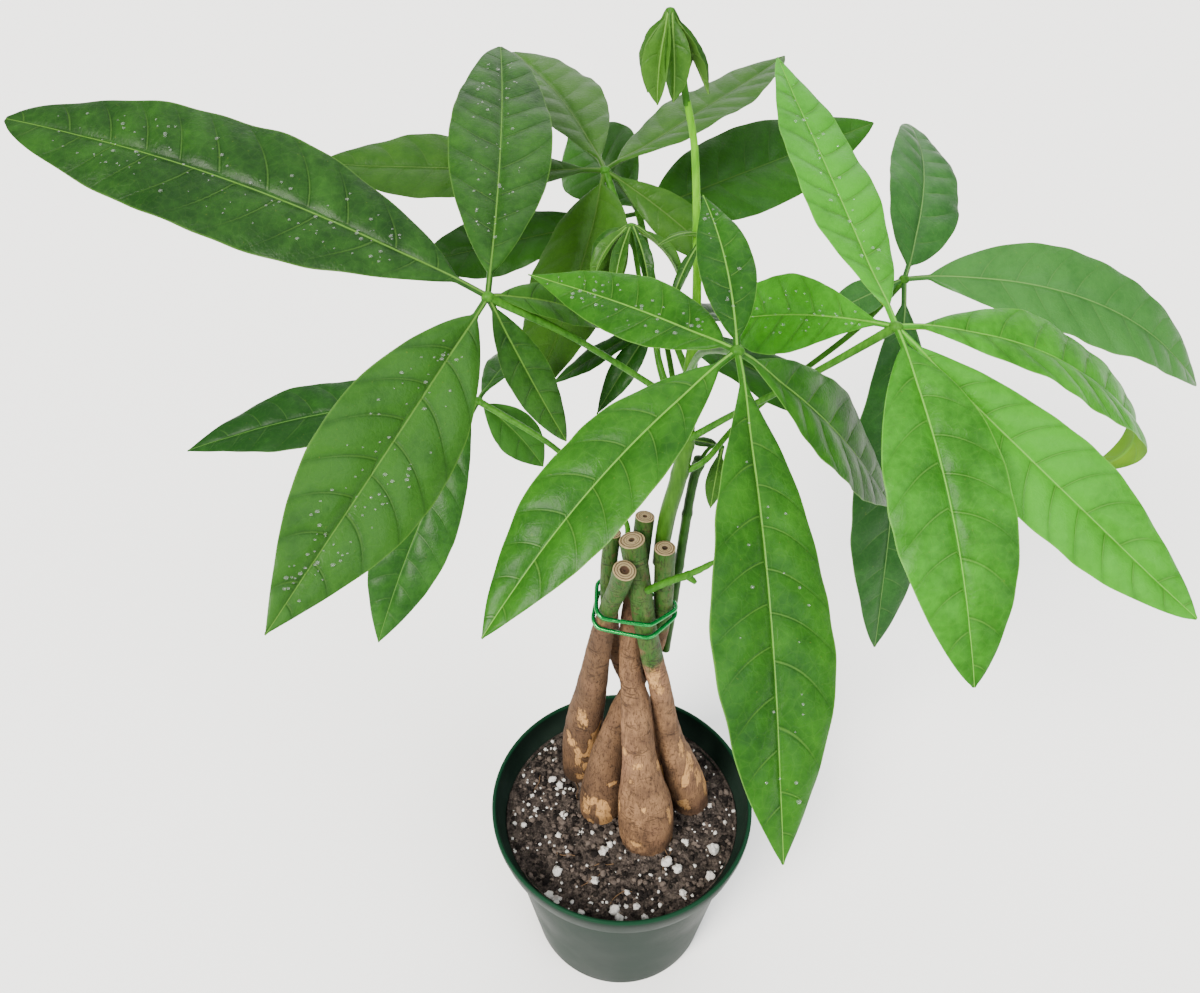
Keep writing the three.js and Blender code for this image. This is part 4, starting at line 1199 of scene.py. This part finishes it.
def potProfile():
    rim = potLook["rim"] / 2
    body = rim - potLook["step"]
    foot = potLook["foot"] / 2
    wall = potLook["wall"]
    high = potLook["height"]
    band = high - potLook["band"]
    low = rim - potLook["taper"]
    outer = [(0, 0), (foot - 6, 0), (foot - 3, 0), *arc(foot - 2, 2, 2, -90, -8, 8)]
    rise = [(foot + (body - foot) * k / 14, 2 + (band - 3.2 - 2) * k / 14) for k in range(1, 15)]
    step = [
        (body + 0.1, band - 1.6), (body + 0.9, band - 0.5), (low - 0.9, band + 0.1),
        (low - 0.3, band + 0.6), (low, band + 1.4),
        (rim - 0.7, high - 7.5), (rim - 0.1, high - 4.6), (rim + 0.1, high - 2.4),
    ]
    lip = arc(rim - wall / 2, high - 1.0, 0.95, 10, 170, 10)
    inner = [(rim - wall, high - 3), (low - wall, band + 2), (body - wall, band - 1)]
    inner += [
        (foot - wall + (body - foot) * (1 - k / 10), band - 1 - (band - 1 - wall - 2) * k / 10)
        for k in range(1, 11)
    ]
    inner += [(foot - wall - 1, wall + 0.4), (foot - wall - 2, wall), (0, wall)]
    return outer + rise + step + lip + inner


def potMaterial():
    plastic, tree, shader = newMaterial("pot_plastic", specular=potLook["specular"])
    high = potLook["height"]
    place = placeOf(tree)
    cloud = noiseOf(tree, place, potLook["cloudScale"], 4)
    worn = rangeOf(tree, cloud, 0.35, 0.75)
    body = blendColour(tree, worn, colour(potLook["colour"]), colour(potLook["worn"]))
    scratches = noiseOf(tree, placeOf(tree, (1, 1, 0.12)), potLook["scuffScale"], 3)
    scuffs = rangeOf(tree, scratches, 0.62, 0.75)
    body = tintOver(tree, body, scuffs, potLook["scuffShare"], potLook["worn"])
    lipShare = rangeOf(tree, heightOf(tree), (high - 2.5) * mm, (high - 0.5) * mm)
    body = blendColour(tree, lipShare, body, colour(potLook["lip"]))
    dust = rangeOf(tree, noiseOf(tree, place, potLook["dustScale"], 2), 0.68, 0.76)
    body = tintOver(tree, body, dust, potLook["dustShare"], potLook["dust"])
    grain = plus(tree, noiseOf(tree, place, potLook["grainScale"], 3), times(tree, cloud, 0.5))
    rough = rangeOf(tree, cloud, 0.3, 0.7, *potLook["gloss"])
    dress(tree, shader, body, bumpOf(tree, grain, 0.25, potLook["bump"] * mm), rough)
    return plastic


def makePot():
    sides = potLook["sides"]
    profile = potProfile()
    rows = [
        [roundPoint(max(r, 0.01), 2 * math.pi * i / sides, z) for i in range(sides)] for r, z in profile
    ]
    uvs = [[(i / sides, j / len(profile)) for i in range(sides + 1)] for j in range(len(profile))]
    shape = newShape()
    addGrid(shape, rows, uvs, closed=True)
    pot = makeObject("pot", shape, [potMaterial()], "pot", "pot_plastic")

    # drain holes, bored and then kept in the mesh
    cutters = []
    for i in range(potLook["holes"]):
        turn = 2 * math.pi * (i + 0.5) / potLook["holes"]
        r = potLook["holeCircle"] / 2
        bpy.ops.mesh.primitive_cylinder_add(
            radius=potLook["holeDiameter"] / 2 * mm, depth=12 * mm, vertices=32,
            location=(r * math.cos(turn) * mm, r * math.sin(turn) * mm, 0),
        )
        cutters.append(bpy.context.object)
    for cutter in cutters:
        cut = pot.modifiers.new("hole", "BOOLEAN")
        cut.operation = "DIFFERENCE"
        cut.solver = "EXACT"
        cut.object = cutter
    bpy.context.view_layer.update()
    shown = pot.evaluated_get(bpy.context.evaluated_depsgraph_get())
    bored = bpy.data.meshes.new_from_object(shown)
    pot.modifiers.clear()
    pot.data = bored
    for cutter in cutters:
        bpy.data.objects.remove(cutter)


soilLook = {
    "top": 90.0, "reach": 57.2, "bottom": 2.1, "shoulder": 87.6, "sides": 220, "rings": 84,
    "edge": 89.3,   # the soil's rim stays above the step in the wall
    "dark": "#120e0c", "light": "#554b44", "bits": "#8b8178",
    "crumbs": 1500, "crumbSizes": (1.0, 1.4, 1.8, 2.4, 3.2),
    "grains": 250, "grainSizes": (0.8, 0.9, 1.1, 1.3, 1.6, 2.1),
    "perlite": "#b9b7b3", "perliteShade": "#a9a49c", "perliteDirt": "#6a5f55",
    "fibres": 18, "fibreReach": 46, "fibreDiameter": 0.34, "fibreStep": 3.2,
    "fibreDark": "#3c2b1e", "fibreLight": "#705639",
    "clumpScale": 260, "speckScale": 1100, "bitScale": 1500, "bitShare": 0.7, "bump": 1.2,
    "poreScale": 1700, "dirtScale": 300, "dirtShare": 0.6, "poreBump": 0.6,
}
# The largest perlite grains: place on the soil and size.
bigGrains = [
    (-31, -31, 4.6), (-13, -37, 4.2), (21, -28, 4.8), (26, -31, 4.4), (41, -34, 4.2), (44, -21, 5.0),
    (28, -43, 3.4), (-36, -45, 4.0), (-31, -46, 4.2), (-4, -52, 4.8), (-2, -55, 4.0), (6, -50, 3.0),
    (-21, -57, 3.4), (-9, -22, 4.4), (-6, -19, 3.0), (-35, 18, 3.6), (-31, 15, 3.8), (-42, 0, 3.0),
    (-29, -2, 3.4), (-31, -13, 2.8), (-48, -8, 2.8), (2, -43, 2.6), (10, -57, 3.0), (44, 2, 2.6),
    (36, 14, 2.4), (-20, -12, 2.2), (31, -17, 2.6), (-45, 9, 2.4), (17, -49, 2.2), (-15, -48, 2.4),
]


def soilHeight(x, y):
    slope = 0.8 * math.sin(x / 14 + 1) + 0.7 * math.cos(y / 11)
    lumps = 1.3 * noise.noise(Vector((x / 4.2, y / 4.2, 3)))
    lumps += 0.7 * noise.noise(Vector((x / 1.7, y / 1.7, 8)))
    heap = 0.0   # soil heaped against each trunk
    for rows in trunks.values():
        foot = rows[1]
        away = math.hypot(x - foot[0], y - foot[1]) - foot[3] / 2
        heap = max(heap, 1.6 * math.exp(-max(0.0, away) / 4))
    edge = math.hypot(x, y)
    return soilLook["top"] + slope + lumps + heap - (0.8 if edge > 55 else 0)


# A point that stands on the soil, raised by so much.
def onSoil(x, y, raised):
    return Vector((x, y, soilHeight(x, y) + raised))


# A random place within a radius.
def scatter(reach):
    turn = random.uniform(0, 2 * math.pi)
    r = reach * math.sqrt(random.random())
    return r * math.cos(turn), r * math.sin(turn)


def soilMaterial():
    earth, tree, shader = newMaterial("potting_soil", roughness=0.95, specular=0.15)
    place = placeOf(tree)
    clumps = noiseOf(tree, place, soilLook["clumpScale"], 6, 0.7)
    specks = noiseOf(tree, place, soilLook["speckScale"], 4, 0.7)
    share = plus(tree, times(tree, clumps, 0.6), times(tree, specks, 0.5))
    share = plus(tree, share, times(tree, minus(tree, faceTint(tree), 0.5), 0.5))
    shade = rangeOf(tree, share, 0.42, 0.78)
    body = blendColour(tree, shade, colour(soilLook["dark"]), colour(soilLook["light"]))
    bits = rangeOf(tree, noiseOf(tree, place, soilLook["bitScale"], 2), 0.7, 0.75)
    body = tintOver(tree, body, bits, soilLook["bitShare"], soilLook["bits"])
    dress(tree, shader, body, bumpOf(tree, share, 1.0, soilLook["bump"] * mm))
    return earth


def perliteMaterial():
    stone, tree, shader = newMaterial("perlite", roughness=0.9, specular=0.2)
    place = placeOf(tree)
    pores = noiseOf(tree, place, soilLook["poreScale"], 5, 0.7)
    shade = rangeOf(tree, pores, 0.3, 0.6)
    body = blendColour(tree, shade, colour(soilLook["perliteShade"]), colour(soilLook["perlite"]))
    dirt = rangeOf(tree, noiseOf(tree, place, soilLook["dirtScale"], 4), 0.55, 0.72)
    body = tintOver(tree, body, dirt, soilLook["dirtShare"], soilLook["perliteDirt"])
    dress(tree, shader, body, bumpOf(tree, pores, 0.9, soilLook["poreBump"] * mm))
    return stone


def fibreMaterial():
    straw, tree, shader = newMaterial("root_fibre", roughness=0.8, specular=0.2)
    place = placeOf(tree)
    streaks = noiseOf(tree, place, 500, 3)
    body = blendColour(tree, streaks, colour(soilLook["fibreDark"]), colour(soilLook["fibreLight"]))
    dress(tree, shader, body, bumpOf(tree, noiseOf(tree, place, 2500, 2), 0.5, 0.2 * mm))
    return straw


def makeSoil():
    shape = newShape()
    sides, rings = soilLook["sides"], soilLook["rings"]
    turns = [2 * math.pi * i / sides for i in range(sides)]
    reach = soilLook["reach"]
    foot = potLook["foot"] / 2 - potLook["wall"] - 0.3
    skirt = [(0.02, soilLook["bottom"]), (foot, soilLook["bottom"]), (reach - 1.8, soilLook["shoulder"])]
    rows = [[roundPoint(r, turn, z) for turn in turns] for r, z in skirt]
    uvs = []
    for j in range(rings + 1):
        r = reach * (1 - j / rings) + 0.02
        lowest = soilLook["edge"] if j < 2 else 80
        flat = [(r * math.cos(turn), r * math.sin(turn)) for turn in turns]
        rows.append([Vector((x, y, max(soilHeight(x, y), lowest))) for x, y in flat])
        uvs.append([(i / sides, j / rings) for i in range(sides + 1)])
    addGrid(shape, rows, [uvs[0]] * 3 + uvs, closed=True)
    for _ in range(soilLook["crumbs"]):
        x, y = scatter(reach * 0.97)
        size = random.choice(soilLook["crumbSizes"])
        addLump(
            shape, onSoil(x, y, size * 0.1), size, rows=4, sides=6,
            squash=random.uniform(0.4, 0.9), rough=0.5, tint=random.random(),
        )
    makeObject("soil", shape, [soilMaterial()], "soil", "soil")

    grains = newShape()
    for x, y, size in bigGrains:
        inside = min(1.0, (reach - size / 2) / math.hypot(x, y))   # none through the pot's wall
        x, y = x * inside, y * inside
        addLump(grains, onSoil(x, y, size * 0.2), size, rows=10, sides=14, squash=0.75, rough=0.35)
    for _ in range(soilLook["grains"]):
        x, y = scatter(reach * 0.98)
        size = random.choice(soilLook["grainSizes"])
        addLump(grains, onSoil(x, y, size * 0.25), size, rows=5, sides=8, squash=0.8, rough=0.3)
    makeObject("perlite_grains", grains, [perliteMaterial()], slot="soil")

    fibres = newShape()
    for _ in range(soilLook["fibres"]):
        x, y = scatter(soilLook["fibreReach"])
        heading = random.uniform(0, 2 * math.pi)
        rows = []
        for k in range(5):
            rows.append((*onSoil(x, y, 0.7 + 0.5 * math.sin(k)), soilLook["fibreDiameter"]))
            heading += random.uniform(-0.7, 0.7)
            x += soilLook["fibreStep"] * math.cos(heading)
            y += soilLook["fibreStep"] * math.sin(heading)
        addTube(fibres, rows, each=5, sides=6)
    makeObject("root_fibres", fibres, [fibreMaterial()], slot="soil")


setStage()
print("stage set")
leafTops = {name: leafMaterial("leaf_top_" + name, look) for name, look in greens.items()}
leafUnders = {name: underMaterial("leaf_under_" + name, look) for name, look in greens.items()}
stalkMaterial = stemMaterial("stalk", "stalk")
leafSurfaces = {name: makeLeaf(name, parts) for name, parts in leaves.items()}
print("leaves made")
makeDrops(leafSurfaces)
print("drops made")
for trunkName, trunkRows in trunks.items():
    makeTrunk(trunkName, trunkRows)
makeShoots()
makeTie()
print("trunks, shoots and tie made")
makePot()
makeSoil()
print("pot and soil made")
